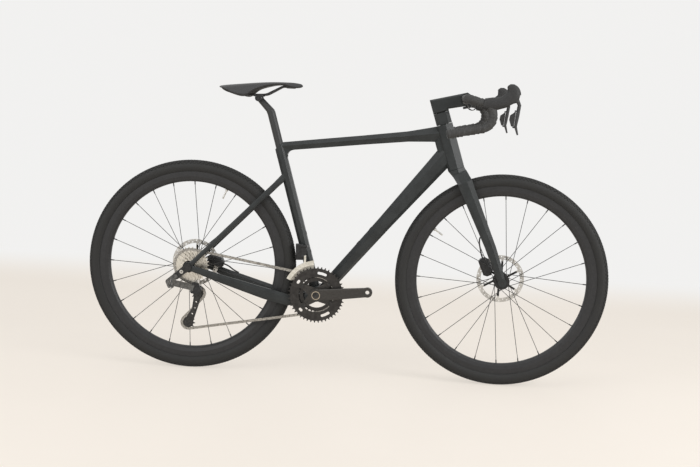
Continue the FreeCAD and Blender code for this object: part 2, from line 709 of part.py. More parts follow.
def frame_shape():
    tt_start, tt_end = top_tube_ends()
    dt_start, dt_end = down_tube_ends()
    top_tube = tube_between(tt_start, tt_end, TOP_TUBE, ridge=0.45, foot=0.6)
    down_tube = tube_between(dt_start, dt_end, DOWN_TUBE, ridge=0.33, ridge_low=0.8, foot=0.5)
    over = SEAT_TUBE_DEPTH
    seat_wires = [box_section(seat(up), SEAT_UP, SEAT_TUBE_DEPTH, SEAT_TUBE_WIDTH, top=0.5, ridge=0.3,
                              ridge_low=0.7, foot=0.5) for up in (0.0, SEAT_TUBE_LENGTH + over)]
    slope = math.radians(SEAT_TOP_SLOPE)
    crest = seat(SEAT_TUBE_LENGTH)
    level = Vector(math.cos(slope), 0, math.sin(slope))
    rise = Vector(-level.z, 0, level.x)
    reach = level * (2 * SEAT_TUBE_DEPTH)
    trim_points = [crest - reach, crest + reach, crest + reach + rise * 80, crest - reach + rise * 80]
    seat_tube = loft(seat_wires).cut(slab(trim_points, -SEAT_TUBE_WIDTH, SEAT_TUBE_WIDTH))
    head_tube = loft([head_section(AXLE_TO_CROWN, HEAD_HALF_WIDTH_LOW),
                      head_section(HEAD_TOP, HEAD_HALF_WIDTH_TOP)])
    shell = across(CRANK, -SHELL_WIDTH / 2, SHELL_WIDTH / 2, SHELL_RADIUS)
    parts = [down_tube, top_tube, seat_tube, head_tube, shell]
    for side in (-1, 1):
        parts.append(stay(seat(SEAT_STAY_START), REAR, SEAT_STAY, side))
        parts.append(stay(CRANK, REAR, CHAIN_STAY, side))
        face = side * REAR_SPACING / 2
        parts.append(across(REAR, face, face + side * DROPOUT_THICKNESS, DROPOUT_RADIUS))
    along = tt_end - tt_start
    below = Vector(along.z, 0, -along.x).normalize() * (TOP_TUBE[1][1] / 2)
    inner_corner = line_crossing(tt_start + below, along, seat(0, SEAT_TUBE_DEPTH / 2), SEAT_UP)
    parts.append(corner_web(inner_corner, Vector(along), SEAT_UP * -1))
    low = AXLE_TO_CROWN + GUSSET_LOW
    high = AXLE_TO_CROWN + GUSSET_HIGH
    sunk = -HEAD_AFT * 0.8
    gusset = [steer(low, -GUSSET_BACK), steer(high, -GUSSET_BACK), steer(high + GUSSET_SLOPE, sunk),
              steer(low - GUSSET_SLOPE, sunk)]
    parts.append(bevelled_slab(gusset, -GUSSET_WIDTH / 2, GUSSET_WIDTH / 2, GUSSET_BEVEL))
    solid = join(parts)
    solid = solid.cut(across(CRANK, -SHELL_WIDTH, SHELL_WIDTH, SHELL_BORE))
    solid = solid.cut(across(REAR, -REAR_SPACING, REAR_SPACING, AXLE_RADIUS + RUNNING_FIT))
    solid = solid.cut(cylinder(seat(SEAT_TUBE_LENGTH - POST_BORE_DEPTH), seat(SEAT_TUBE_LENGTH + 2 * over),
                               POST_RADIUS + RUNNING_FIT))
    solid = solid.cut(slab(wedge_outline(), -WEDGE_WIDTH / 2, WEDGE_WIDTH / 2))
    solid = solid.cut(cylinder(steer(AXLE_TO_CROWN - 1), steer(HEAD_TOP + 1), CROWN_RACE_RADIUS + 1))
    solid = solid.cut(cylinder(steer(AXLE_TO_CROWN - 1), steer(AXLE_TO_CROWN + BEARING_HEIGHT),
                               LOWER_BEARING_RADIUS))
    solid = solid.cut(cylinder(steer(HEAD_TOP - BEARING_HEIGHT), steer(HEAD_TOP + 1), UPPER_BEARING_RADIUS))
    for place, out in boss_places():
        solid = solid.cut(cylinder(place - out * (BOSS_LENGTH + 1), place + out * 0.5, BOSS_RADIUS))
        solid = solid.cut(cylinder(place, place + out * BOSS_LENGTH, BOSS_FLANGE_RADIUS))
    return solid


def frame_bearings():
    """Headset bearings and bottom bracket cups, pressed into the frame."""
    parts = [tube(steer(AXLE_TO_CROWN), steer(AXLE_TO_CROWN + BEARING_HEIGHT), LOWER_BEARING_RADIUS,
                  CROWN_RACE_RADIUS + RUNNING_FIT),
             tube(steer(HEAD_TOP - BEARING_HEIGHT), steer(HEAD_TOP), UPPER_BEARING_RADIUS,
                  STEERER_RADIUS + RUNNING_FIT)]
    for side in (-1, 1):
        face = side * SHELL_WIDTH / 2
        depth = 12.0
        cup = across(CRANK, face - side * depth, face, SHELL_BORE)
        lip = across(CRANK, face, face + side * CUP_FLANGE_LENGTH, CUP_FLANGE_RADIUS)
        bore = across(CRANK, -SHELL_WIDTH, SHELL_WIDTH, SPINDLE_RADIUS + RUNNING_FIT)
        parts.append(cup.fuse(lip).cut(bore))
    return Part.makeCompound(parts)


def derailleur_hanger():
    outer = -REAR_SPACING / 2 - DROPOUT_THICKNESS
    pivot = offset(REAR, *HANGER_PIVOT)
    plate = strap([(REAR, 13.0), (pivot, 9.0)], outer, outer - HANGER_THICKNESS)
    plate = plate.cut(across(REAR, -REAR_SPACING, 0, AXLE_RADIUS + RUNNING_FIT))
    plate = plate.cut(across(pivot, -REAR_SPACING, 0, LINK_PIN_RADIUS * 2))
    bolt = across(offset(REAR, *HANGER_BOLT), outer - HANGER_THICKNESS, outer - HANGER_THICKNESS - 1.5, 4.0)
    return Part.makeCompound([plate, bolt])


def through_axle(place, spacing, end_thickness, plate=0.0):
    """Thru-axle with its head on the left side."""
    right = -spacing / 2 - end_thickness - plate
    left = spacing / 2 + end_thickness
    shaft = across(place, right, left, AXLE_RADIUS)
    head = across(place, left, left + AXLE_HEAD_LENGTH, AXLE_HEAD_RADIUS)
    return shaft.fuse(head).removeSplitter()


# Wheels

def tyre(centre):
    """Open casing: round outside and inside, with a square bead on each edge."""
    half = TYRE_WIDTH / 2
    crown = TYRE_RADIUS - half
    flange_inner = RIM_WIDTH / 2 - RIM_FLANGE_WALL - SEAM_GAP
    low = RIM_FLANGE_RADIUS + SEAM_GAP
    neck = low + TYRE_WALL
    outer_y = math.sqrt(half ** 2 - (crown - low) ** 2)
    inner = half - TYRE_WALL
    inner_y = math.sqrt(inner ** 2 - (crown - neck) ** 2)
    toe = flange_inner - BEAD_THICKNESS
    seat_radius = BEAD_RADIUS + SEAM_GAP

    def at(y, radius):
        return Vector(centre.x, y, centre.z + radius)

    def line(first, second):
        return Part.LineSegment(at(*first), at(*second)).toShape()

    edges = [Part.Arc(at(-outer_y, low), at(0, TYRE_RADIUS), at(outer_y, low)).toShape()]
    right = [(outer_y, low), (flange_inner, low), (flange_inner, seat_radius), (toe, seat_radius),
             (toe, neck), (inner_y, neck)]
    edges += [line(a, b) for a, b in zip(right, right[1:])]
    edges.append(Part.Arc(at(inner_y, neck), at(0, crown + inner), at(-inner_y, neck)).toShape())
    left = [(-y, radius) for y, radius in reversed(right)]
    edges += [line(a, b) for a, b in zip(left, left[1:])]
    return Part.Face(Part.Wire(edges)).revolve(centre, ALONG_Y, 360)


def rim_outline(grow):
    """Closed outer or inner wall outline of the rim's box, as Y and radius."""
    half = RIM_WIDTH / 2 + grow
    well = BEAD_RADIUS - 2 * RIM_WALL - RIM_FLANGE_WALL - grow if grow < 0 else BEAD_RADIUS
    nose = RIM_INNER_RADIUS - grow
    depth = well - nose
    right = [(half, well), (half * 0.98, nose + depth * 0.62), (half * 0.8, nose + depth * 0.24),
             (half * 0.45, nose + depth * 0.04), (half * 0.15, nose)]
    return right + [(-y, radius) for y, radius in reversed(right)]


def rim(centre, valve_angle):
    """Hollow deep-section rim with hooked edges for the tyre, and its valve."""
    body = turned(centre, rim_outline(0.0)).cut(turned(centre, rim_outline(-RIM_WALL)))
    half = RIM_WIDTH / 2
    hooks = []
    for side in (-1, 1):
        edge = side * half
        hooks.append(turned(centre, [(edge, BEAD_RADIUS), (edge, RIM_FLANGE_RADIUS),
                                     (edge - side * RIM_FLANGE_WALL, RIM_FLANGE_RADIUS),
                                     (edge - side * RIM_FLANGE_WALL, BEAD_RADIUS)]))
    body = join([body] + hooks)
    turn = math.radians(valve_angle)
    out = Vector(math.sin(turn), 0, math.cos(turn))
    valve_end = centre + out * (RIM_INNER_RADIUS - VALVE_LENGTH)
    valve = cylinder(valve_end, centre + out * BEAD_RADIUS, VALVE_RADIUS)
    body = body.cut(valve)
    nut_end = centre + out * (RIM_INNER_RADIUS - VALVE_NUT_LENGTH)
    nut = cylinder(nut_end, centre + out * (RIM_INNER_RADIUS - VALVE_NUT_GAP), VALVE_NUT_RADIUS)
    return Part.makeCompound([body, valve.fuse(nut)])


def spokes(centre, flanges, hub, rim_body):
    """Crossed spokes, each with its nipple, trimmed to the hub and the rim."""
    parts = []
    per_side = SPOKE_COUNT // 2
    hole_step = 2 * math.pi / per_side
    for index in range(SPOKE_COUNT):
        at_rim = 2 * math.pi * index / SPOKE_COUNT
        pair = index // 2
        lean = 1 if pair % 2 == 0 else -1
        at_hub = at_rim + lean * SPOKE_CROSSES * hole_step
        y = flanges[index % 2] + lean * FLANGE_THICKNESS * 0.4
        hole = offset(centre, math.sin(at_hub) * FLANGE_HOLE_RADIUS, math.cos(at_hub) * FLANGE_HOLE_RADIUS)
        start = hole + ALONG_Y * y
        end = centre + Vector(math.sin(at_rim), 0, math.cos(at_rim)) * (RIM_INNER_RADIUS + 1)
        along = (start - end).normalize()
        wire = cylinder(start, end, SPOKE_RADIUS)
        nipple = cylinder(end, end + along * NIPPLE_LENGTH, NIPPLE_RADIUS)
        parts.append(wire.fuse(nipple).removeSplitter().cut(hub).cut(rim_body))
    solids = [max(part.Solids, key=lambda solid: solid.Volume) for part in parts]
    return Part.makeCompound(solids)


def hub(centre, spacing, flanges, rotor_y, right_end):
    """Hub shell: two flanges on a barrel, end sleeves and the rotor's seat on the left."""
    left, right = flanges
    half = FLANGE_THICKNESS / 2
    stop = rotor_y - ROTOR_THICKNESS / 2
    seat_end = rotor_y + ROTOR_THICKNESS / 2 + LOCKRING_LENGTH * 0.8
    bore = AXLE_RADIUS + RUNNING_FIT
    step = HUB_BARREL_RADIUS + HUB_STEP
    shoulder = ROTOR_SEAT_RADIUS + ROTOR_SHOULDER
    seat = ROTOR_SEAT_RADIUS - RUNNING_FIT
    profile = [(-spacing / 2, bore), (-spacing / 2, HUB_END_RADIUS), (right_end, HUB_END_RADIUS),
               (right_end, step), (right - half, step), (right - half, FLANGE_RADIUS),
               (right + half, FLANGE_RADIUS), (right + half, HUB_BARREL_RADIUS),
               (left - half, HUB_BARREL_RADIUS), (left - half, FLANGE_RADIUS), (left + half, FLANGE_RADIUS),
               (left + half, shoulder), (stop, shoulder), (stop, seat), (seat_end, seat),
               (seat_end, HUB_END_RADIUS), (spacing / 2, HUB_END_RADIUS), (spacing / 2, bore)]
    return turned(centre, profile)


def ring(centre, low, high, inner, outer):
    """Flat ring round a wheel's axle."""
    return turned(centre, [(low, inner), (low, outer), (high, outer), (high, inner)])


def rotor(centre, y):
    """Braking band, the spider that carries it, and the lockring, at one wheel."""
    low = y - ROTOR_THICKNESS / 2
    high = y + ROTOR_THICKNESS / 2
    seat = ROTOR_SEAT_RADIUS
    band_inner = ROTOR_RADIUS - ROTOR_BAND
    band = ring(centre, low, high, band_inner, ROTOR_RADIUS)
    for index in range(ROTOR_HOLES):
        turn = 2 * math.pi * index / ROTOR_HOLES
        radius = ROTOR_RADIUS - ROTOR_BAND * (0.3 + 0.4 * (index % 2))
        place = offset(centre, radius * math.sin(turn), radius * math.cos(turn))
        band = band.cut(across(place, low - 1, high + 1, ROTOR_HOLE_RADIUS))
    arms = [ring(centre, low, high, seat, seat + ROTOR_CORE)]
    root = seat + ROTOR_CORE / 2
    for index in range(ROTOR_ARMS):
        corner = Vector(centre.x - ROTOR_ARM_WIDTH / 2 + ROTOR_ARM_LEAN, low, centre.z + root)
        arm = Part.makeBox(ROTOR_ARM_WIDTH, ROTOR_THICKNESS, band_inner + 2 - root, corner)
        arm.rotate(centre, ALONG_Y, 360.0 * index / ROTOR_ARMS)
        arms.append(arm)
    spider = join(arms).common(ring(centre, low, high, seat, band_inner))
    lockring = ring(centre, high, high + LOCKRING_LENGTH, seat, LOCKRING_RADIUS)
    return Part.makeCompound([band.fuse(spider).removeSplitter(), lockring])


# Brakes

def caliper_block(centre, along, rotor_y, size, foot):
    """Body round the rotor's edge, long along a direction, that reaches down to a foot below its centre."""
    up = Vector(-along.z, 0, along.x)
    half_l = size[0] / 2
    half_d = size[1] / 2
    shoulder = 0.4 * half_d
    marks = ((-0.8 * half_l, -foot), (0.75 * half_l, -foot), (half_l, -shoulder), (half_l, shoulder),
             (0.6 * half_l, half_d), (-0.6 * half_l, half_d), (-half_l, shoulder), (-half_l, -shoulder))
    outline = [centre + along * a + up * b for a, b in marks]
    return bevelled_slab(outline, rotor_y - CALIPER_WIDTH / 2, rotor_y + CALIPER_WIDTH / 2, CALIPER_BEVEL)


def pad_outer():
    return ROTOR_THICKNESS / 2 + PAD_ROTOR_GAP + PAD_THICKNESS


def caliper(wheel, body, rotor_y):
    """Caliper body with the slot that the rotor and the two pads run in."""
    slot_half = pad_outer() + PAD_SLOT_GAP
    return body.cut(across(wheel, rotor_y - slot_half, rotor_y + slot_half, ROTOR_RADIUS + 3))


def pad(wheel, centre, rotor_y, side):
    """One brake pad, beside the rotor's band."""
    towards = Vector(centre.x - wheel.x, 0, centre.z - wheel.z).normalize()
    middle = wheel + towards * (ROTOR_RADIUS - ROTOR_BAND / 2 - 1)
    sideways = Vector(-towards.z, 0, towards.x)
    outline = [middle + sideways * a * PAD_LENGTH / 2 + towards * b * PAD_DEPTH / 2
               for a, b in ((-1, -1), (1, -1), (1, 1), (-1, 1))]
    inner = ROTOR_THICKNESS / 2 + PAD_ROTOR_GAP
    return slab(outline, rotor_y + side * inner, rotor_y + side * (inner + PAD_THICKNESS))


def leg_edge(share, side):
    """Rear edge point of a fork leg at a share of its length."""
    start, along, fore = leg_axis()
    rise = interpolate(FORK_LEG, share, 1)
    y = interpolate(FORK_LEG, share, 2)
    depth = interpolate(FORK_LEG, share, 3)
    return start + along * share + fore * (rise - depth / 2) + ALONG_Y * (side * y)


def front_caliper_place():
    """Centre and long direction of the front caliper, behind the left fork leg."""
    upper = leg_edge(0.66, 1)
    lower = leg_edge(0.9, 1)
    along = Vector(lower.x - upper.x, 0, lower.z - upper.z).normalize()
    back = Vector(along.z, 0, -along.x)
    if back.x > 0:
        back = back * -1
    foot = FRONT + along * (-FRONT_CALIPER_REACH * 0.9)
    edge = line_crossing(Vector(foot.x, 0, foot.z), back, Vector(upper.x, 0, upper.z), along)
    return edge + back * (FRONT_CALIPER_SIZE[1] / 2 + CALIPER_GAP), along


def stay_top(share):
    along = REAR - CRANK
    up = Vector(along.z, 0, -along.x).normalize()
    if up.z < 0:
        up = up * -1
    rise = interpolate(CHAIN_STAY, share, 1)
    depth = interpolate(CHAIN_STAY, share, 3)
    return CRANK + along * share + up * (rise + depth / 2)


def rear_caliper_place():
    """Centre and long direction of the rear caliper, above the left chainstay."""
    rear_edge = stay_top(0.9)
    front_edge = stay_top(0.76)
    along = Vector(front_edge.x - rear_edge.x, 0, front_edge.z - rear_edge.z).normalize()
    return offset(REAR, *REAR_CALIPER_PLACE), along


def rear_caliper_foot():
    """Drop from the rear caliper's centre to its foot, just above the chainstay."""
    centre, along = rear_caliper_place()
    up = Vector(-along.z, 0, along.x)
    return (centre - stay_top(0.9)).dot(up) - CALIPER_GAP


def rear_caliper_body():
    """Rear caliper block with the flat seat that carries it on the chainstay."""
    centre, along = rear_caliper_place()
    up = Vector(-along.z, 0, along.x)
    foot = rear_caliper_foot()
    half = REAR_CALIPER_SIZE[0] / 2
    seat_top = REAR_CALIPER_SEAT - foot
    outline = [centre + along * a + up * b for a, b in ((-0.8 * half, -foot), (0.75 * half, -foot),
                                                        (0.75 * half, seat_top), (-0.8 * half, seat_top))]
    stay_y = interpolate(CHAIN_STAY, 0.84, 2)
    block = caliper_block(centre, along, REAR_ROTOR_Y, REAR_CALIPER_SIZE, foot)
    return join([block, slab(outline, REAR_ROTOR_Y + CALIPER_BEVEL, stay_y)])


# Fork

def leg_axis():
    start = steer(AXLE_TO_CROWN - CROWN_GAP - CROWN_HEIGHT * 0.5)
    along = FRONT - start
    fore = Vector(-along.z, 0, along.x).normalize()
    if fore.x < 0:
        fore = fore * -1
    return start, along, fore


def fork_leg(side):
    start, along, fore = leg_axis()
    wires = []
    for share, rise, y, depth, width in FORK_LEG:
        centre = start + along * share + fore * rise + ALONG_Y * (side * y)
        wires.append(box_section(centre, along, depth, width, top=0.35, ridge=0.35, ridge_low=0.75, foot=0.5))
    return loft(wires)


def fork():
    """Crown, two legs and the steerer that turns in the headset."""
    crown_top = AXLE_TO_CROWN - CROWN_GAP
    low = crown_top - CROWN_HEIGHT
    crown = loft([head_section(low, CROWN_HALF_WIDTH, CROWN_FORE, CROWN_AFT),
                  head_section(crown_top, CROWN_HALF_WIDTH)])
    parts = [crown, fork_leg(-1), fork_leg(1)]
    for side in (-1, 1):
        face = side * FRONT_SPACING / 2
        parts.append(across(FRONT, face, face + side * FORK_DROPOUT_THICKNESS, FORK_DROPOUT_RADIUS))
    race = cylinder(steer(crown_top - 5), steer(AXLE_TO_CROWN + BEARING_HEIGHT), CROWN_RACE_RADIUS)
    joint = HEAD_TOP + COVER_HEIGHT
    steerer = cylinder(steer(crown_top - 5), steer(joint + COLUMN_RISE * 0.5), STEERER_RADIUS)
    solid = join(parts + [race, steerer])
    inner = cylinder(steer(AXLE_TO_CROWN), steer(joint + COLUMN_RISE), STEERER_RADIUS - STEERER_WALL)
    solid = solid.cut(inner)
    return solid.cut(across(FRONT, -FRONT_SPACING, FRONT_SPACING, AXLE_RADIUS + RUNNING_FIT))


# Cockpit

def column_outline(up, shrink=0.0):
    half_d = COLUMN_DEPTH / 2 - shrink
    half_w = COLUMN_WIDTH / 2 - shrink
    outline = ((half_d, half_w * 0.5), (half_d * 0.55, half_w), (-half_d * 0.55, half_w),
               (-half_d, half_w * 0.6))
    left = [steer(up, fore, side) for fore, side in outline]
    right = [steer(up, fore, -side) for fore, side in reversed(outline)]
    return polygon(left + right)


def headset_cover():
    low = HEAD_TOP + CROWN_GAP
    high = HEAD_TOP + COVER_HEIGHT - SEAM_GAP
    body = loft([column_outline(low), column_outline(high)])
    return body.cut(cylinder(steer(low - 1), steer(high + 1), STEERER_RADIUS + RUNNING_FIT))


def bar_centre():
    return steer(HEAD_TOP + COVER_HEIGHT + BAR_ABOVE_JOINT, BAR_FORWARD)


def clamp_axes():
    """Directions out of and up along the stem's face, square to the bar."""
    lean = math.radians(BAR_RAMP_ANGLE)
    return Vector(math.cos(lean), 0, math.sin(lean)), Vector(-math.sin(lean), 0, math.cos(lean))


def stem():
    """Column on the steerer and the arm that reaches to the bar."""
    joint = HEAD_TOP + COVER_HEIGHT
    out, up = clamp_axes()
    face = BAR_CLAMP_RADIUS + FACEPLATE_WALL
    centre = bar_centre() - out * (FACEPLATE_GAP / 2)
    half = COLUMN_DEPTH / 2
    outline = [steer(joint, -half), steer(joint, half), steer(joint + 6, half), centre - up * face,
               centre + up * face, steer(joint + COLUMN_RISE, -half)]
    body = bevelled_slab(outline, -STEM_CLAMP_HALF, STEM_CLAMP_HALF, STEM_BEVEL)
    body = body.cut(across(bar_centre(), -60, 60, BAR_CLAMP_RADIUS + RUNNING_FIT))
    bore_end = steer(joint + COLUMN_RISE * 0.6)
    body = body.cut(cylinder(steer(joint - 1), bore_end, STEERER_RADIUS + RUNNING_FIT))
    for hole in stem_bolt_lines():
        body = body.cut(cylinder(*hole, STEM_BOLT_RADIUS + RUNNING_FIT))
    return body


def faceplate_block():
    out, up = clamp_axes()
    face = BAR_CLAMP_RADIUS + FACEPLATE_WALL
    centre = bar_centre() + out * (FACEPLATE_GAP / 2)
    nose = face - FACEPLATE_GAP / 2
    marks = ((-1, 0), (-1, 0.5), (-0.5, 1), (0.5, 1), (1, 0.5), (1, 0))
    return [centre + up * (face * a) + out * (nose * b) for a, b in marks]


def stem_bolt_lines():
    """Start and end of each faceplate bolt's shank."""
    out, up = clamp_axes()
    lines = []
    reach = BAR_CLAMP_RADIUS + STEM_BOLT_RADIUS + SEAM_GAP
    for side in (-1, 1):
        for rise in (-1, 1):
            base = bar_centre() + up * (rise * reach) + ALONG_Y * (side * (STEM_CLAMP_HALF - 7))
            lines.append((base - out * (STEM_BOLT_LENGTH * 0.55), base + out * (STEM_BOLT_LENGTH * 0.45)))
    return lines


def stem_faceplate():
    body = bevelled_slab(faceplate_block(), -STEM_CLAMP_HALF, STEM_CLAMP_HALF, FACEPLATE_BEVEL)
    body = body.cut(across(bar_centre(), -60, 60, BAR_CLAMP_RADIUS + RUNNING_FIT))
    for start, end in stem_bolt_lines():
        out = (end - start).normalize()
        body = body.cut(cylinder(start, end, STEM_BOLT_RADIUS + RUNNING_FIT))
        body = body.cut(cylinder(end, end + out * 30, STEM_BOLT_HEAD_RADIUS + RUNNING_FIT))
    return body


def stem_bolts():
    bolts = []
    for start, end in stem_bolt_lines():
        out = (end - start).normalize()
        shank = cylinder(start, end, STEM_BOLT_RADIUS)
        head = cylinder(end, end + out * STEM_BOLT_HEAD_LENGTH, STEM_BOLT_HEAD_RADIUS)
        bolts.append(shank.fuse(head).removeSplitter())
    return Part.makeCompound(bolts)


def bar_points(side):
    """Corner points of one half of the bar, from the stem out to the end of the drop."""
    centre = bar_centre()
    ramp = math.radians(BAR_RAMP_ANGLE)
    drop = math.radians(BAR_DROP_ANGLE)
    corner = Vector(centre.x, side * BAR_HALF_WIDTH, centre.z)
    ramp_way = Vector(math.cos(ramp), 0, -math.sin(ramp))
    drop_way = Vector(-math.cos(drop), 0, -math.sin(drop))
    hook_start = corner + ramp_way * BAR_RAMP_LENGTH
    hook_mid = hook_start + Vector(-ramp_way.z, 0, ramp_way.x) * -BAR_HOOK_RADIUS
    hook_end = hook_mid + Vector(-drop_way.z, 0, drop_way.x) * BAR_HOOK_RADIUS
    front = hook_mid + Vector(BAR_HOOK_RADIUS, 0, 0)
    upright = Vector(0, 0, 1)
    upper = line_crossing(hook_start, ramp_way, front, upright)
    lower = line_crossing(hook_end, drop_way, front, upright)
    end = hook_end + drop_way * BAR_DROP_LENGTH
    flare = math.tan(math.radians(BAR_FLARE))
    points = [Vector(centre.x, 0, centre.z), corner]
    for point in (upper, lower, end):
        points.append(point + Vector(0, side * flare * (corner.z - point.z), 0))
    return points


def bar_path(side):
    return rounded_path(bar_points(side), [BAR_CORNER_RADIUS, BAR_HOOK_RADIUS, BAR_HOOK_RADIUS])


def bar_half(side):
    return rod(bar_path(side), BAR_RADIUS)


def handlebar():
    """Drop bar: thick middle for the stem, thinner ends bent forward and down."""
    centre = bar_centre()
    middle = across(centre, -BAR_CLAMP_HALF, BAR_CLAMP_HALF, BAR_CLAMP_RADIUS)
    parts = [middle]
    for side in (-1, 1):
        shoulder = centre + ALONG_Y * (side * BAR_CLAMP_HALF)
        cone = Part.makeCone(BAR_CLAMP_RADIUS, BAR_RADIUS, BAR_TAPER, shoulder, ALONG_Y * side)
        parts += [cone, bar_half(side)]
    solid = join(parts)
    for side in (-1, 1):
        points = bar_points(side)
        way = (points[-2] - points[-1]).normalize()
        solid = solid.cut(cylinder(points[-1] - way, points[-1] + way * 20, BAR_RADIUS - BAR_WALL))
    return solid


def hood_frame(side):
    """Origin of the hood's table: the bar's ramp corner, moved out with the flare."""
    corner = bar_points(side)[1]
    return corner + ALONG_Y * (side * HOOD_SIDE)


def hood_loft(side, grow=0.0):
    """Body through the hood's stations, grown all round."""
    base = hood_frame(side)
    wires = []
    for fore, up, tilt, height, width in HOOD:
        lean = math.radians(tilt)
        rise = Vector(-math.sin(lean), 0, math.cos(lean))
        wires.append(oval(offset(base, fore, up), ALONG_Y, rise, width / 2 + grow, height / 2 + grow))
    return loft(wires)


def oval(centre, across_axis, up_axis, half_width, half_height):
    """Ellipse across two axes, as a closed wire."""
    if half_width >= half_height:
        ellipse = Part.Ellipse(centre + across_axis * half_width, centre + up_axis * half_height, centre)
    else:
        ellipse = Part.Ellipse(centre + up_axis * half_height, centre - across_axis * half_width, centre)
    return Part.Wire([ellipse.toShape()])


def lever_pivot(side):
    return offset(hood_frame(side), *LEVER_PIVOT)


def lever_slot(side):
    """Room for the lever's root at the front of the hood, over its whole pull."""
    pivot = lever_pivot(side)
    outline = [offset(pivot, *point) for point in LEVER_SLOT]
    y = pivot.y
    return slab(outline, y - LEVER_SLOT_WIDTH / 2, y + LEVER_SLOT_WIDTH / 2)


def bracket_block(side):
    """Bevelled core of the lever's body, inside the hood."""
    base = hood_frame(side)
    outline = [offset(base, *point) for point in BRACKET]
    return bevelled_slab(outline, base.y - BRACKET_WIDTH / 2, base.y + BRACKET_WIDTH / 2, BRACKET_BEVEL)


def lever_bracket(side, bar):
    pivot = lever_pivot(side)
    body = bracket_block(side).cut(bar).cut(lever_slot(side))
    body = max(body.Solids, key=lambda solid: solid.Volume)
    reach = BRACKET_WIDTH / 2 - 1
    return body.fuse(across(pivot, pivot.y - reach, pivot.y + reach, LEVER_PIN_RADIUS)).removeSplitter()


def lever_hood(side, bar):
    body = hood_loft(side).cut(bracket_block(side)).cut(bar).cut(lever_slot(side))
    return max(body.Solids, key=lambda solid: solid.Volume)


def brake_lever(side):
    """Blade hung on its pin, curving down and forward to the finger hook."""
    pivot = lever_pivot(side)
    wires = []
    places = [offset(pivot, fore, up) for fore, up, depth, width in LEVER_BLADE]
    for index, (fore, up, depth, width) in enumerate(LEVER_BLADE):
        ahead = places[min(index + 1, len(places) - 1)] - places[max(index - 1, 0)]
        wires.append(box_section(places[index], ahead, depth, width, top=0.5, ridge=0.3, ridge_low=0.7,
                                 foot=0.5))
    half = LEVER_BLADE[0][3] / 2
    root = across(pivot, pivot.y - half, pivot.y + half, LEVER_ROOT_RADIUS)
    top, foot = paddle_hinge(side)
    parts = [loft(wires), root, cylinder(top, foot, PADDLE_PIN_RADIUS)]
    for end in (top, foot):
        blade_side = offset(end, PADDLE_LUG_REACH, 0)
        parts.append(strap([(end, PADDLE_BARREL), (blade_side, PADDLE_BARREL)], pivot.y - PADDLE_BARREL,
                           pivot.y + PADDLE_BARREL))
    body = join(parts)
    return body.cut(across(pivot, pivot.y - 20, pivot.y + 20, LEVER_PIN_RADIUS + RUNNING_FIT))


def paddle_hinge(side):
    """Ends of the paddle's hinge pin, at the two lugs behind the blade."""
    pivot = lever_pivot(side)
    return [offset(pivot, *end) for end in PADDLE_HINGE]


def shift_paddle(side):
    """Thin shift lever behind the blade, on a barrel along its front edge."""
    pivot = lever_pivot(side)
    top, foot = paddle_hinge(side)
    way = (foot - top).normalize()
    inset = way * (PADDLE_BARREL + SEAM_GAP)
    outline = [top + inset] + [offset(pivot, *point) for point in PADDLE_OUTLINE] + [foot - inset]
    half = PADDLE_THICKNESS / 2
    plate = slab(outline, pivot.y - half, pivot.y + half)
    barrel = cylinder(top + inset, foot - inset, PADDLE_BARREL)
    return join([plate, barrel]).cut(cylinder(top, foot, PADDLE_PIN_RADIUS + RUNNING_FIT))


def bar_tape(side, hood):
    """Tape wound along the bar: each wrap is a step up and a slope down to the next."""
    path = bar_path(side)
    start = BAR_CLAMP_HALF + BAR_TAPER
    total = path.Length - start
    step = total / TAPE_WRAPS
    outer = BAR_RADIUS + TAPE_THICKNESS
    lengths = []
    radii = []
    for wrap in range(TAPE_WRAPS):
        lengths += [start + wrap * step, start + (wrap + 0.93) * step]
        radii += [outer, outer - TAPE_STEP]
    lengths.append(path.Length)
    radii.append(outer)
    wires = []
    axis = Vector(0, 0, 1)
    for (place, way), radius in zip(path_frames(path, lengths), radii):
        axis = (axis - way * axis.dot(way)).normalize()
        wires.append(circle_of_arcs(place, axis, way.cross(axis), radius))
    wound = loft(wires).cut(bar_half(side)).cut(hood)
    return wound.Solids


def shift_wiring():
    """Junction box strapped under the stem, with a wire loop to each side of the bar."""
    out, up = clamp_axes()
    centre = bar_centre()
    top = centre - up * (BAR_CLAMP_RADIUS + FACEPLATE_WALL + SEAM_GAP) - out * 2
    rear_top = top - out * (BOX_LENGTH * 0.4)
    front_top = top + out * (BOX_LENGTH * 0.6)
    outline = [rear_top, front_top, front_top - up * BOX_HEIGHT, rear_top - up * BOX_HEIGHT]
    box = bevelled_slab(outline, -BOX_WIDTH / 2, BOX_WIDTH / 2, BOX_BEVEL)
    front = front_top - up * (BOX_HEIGHT / 2)
    parts = [box]
    for side in (-1, 1):
        y = side * BOX_WIDTH * 0.25
        bar_low = centre - up * (BAR_RADIUS + TAPE_THICKNESS + WIRE_GAP)
        points = [front + out * a + up * b + ALONG_Y * (y * c) for a, b, c in WIRE_LOOP]
        points += [bar_low + Vector(a, side * b, c) for a, b, c in WIRE_END]
        parts.append(cord(points, WIRE_RADIUS))
    return Part.makeCompound(parts)


def front_brake_hose():
    """Short hose from the fork leg's port to the caliper."""
    centre, along = front_caliper_place()
    top = centre - along * (FRONT_CALIPER_SIZE[0] / 2)
    back = Vector(along.z, 0, -along.x)
    if back.x > 0:
        back = back * -1
    y = FRONT_ROTOR_Y + 9.0
    end = Vector(top.x, y, top.z)
    port = leg_edge(0.6, 1)
    inside = port + Vector(0.4, -1.0, 0)
    points = [end, end - along * 10, end - along * 20 - back * 2, Vector(inside.x - 5, y, inside.z - 12),
              Vector(inside.x - 0.5, y - 0.5, inside.z)]
    return cord(points, HOSE_RADIUS)


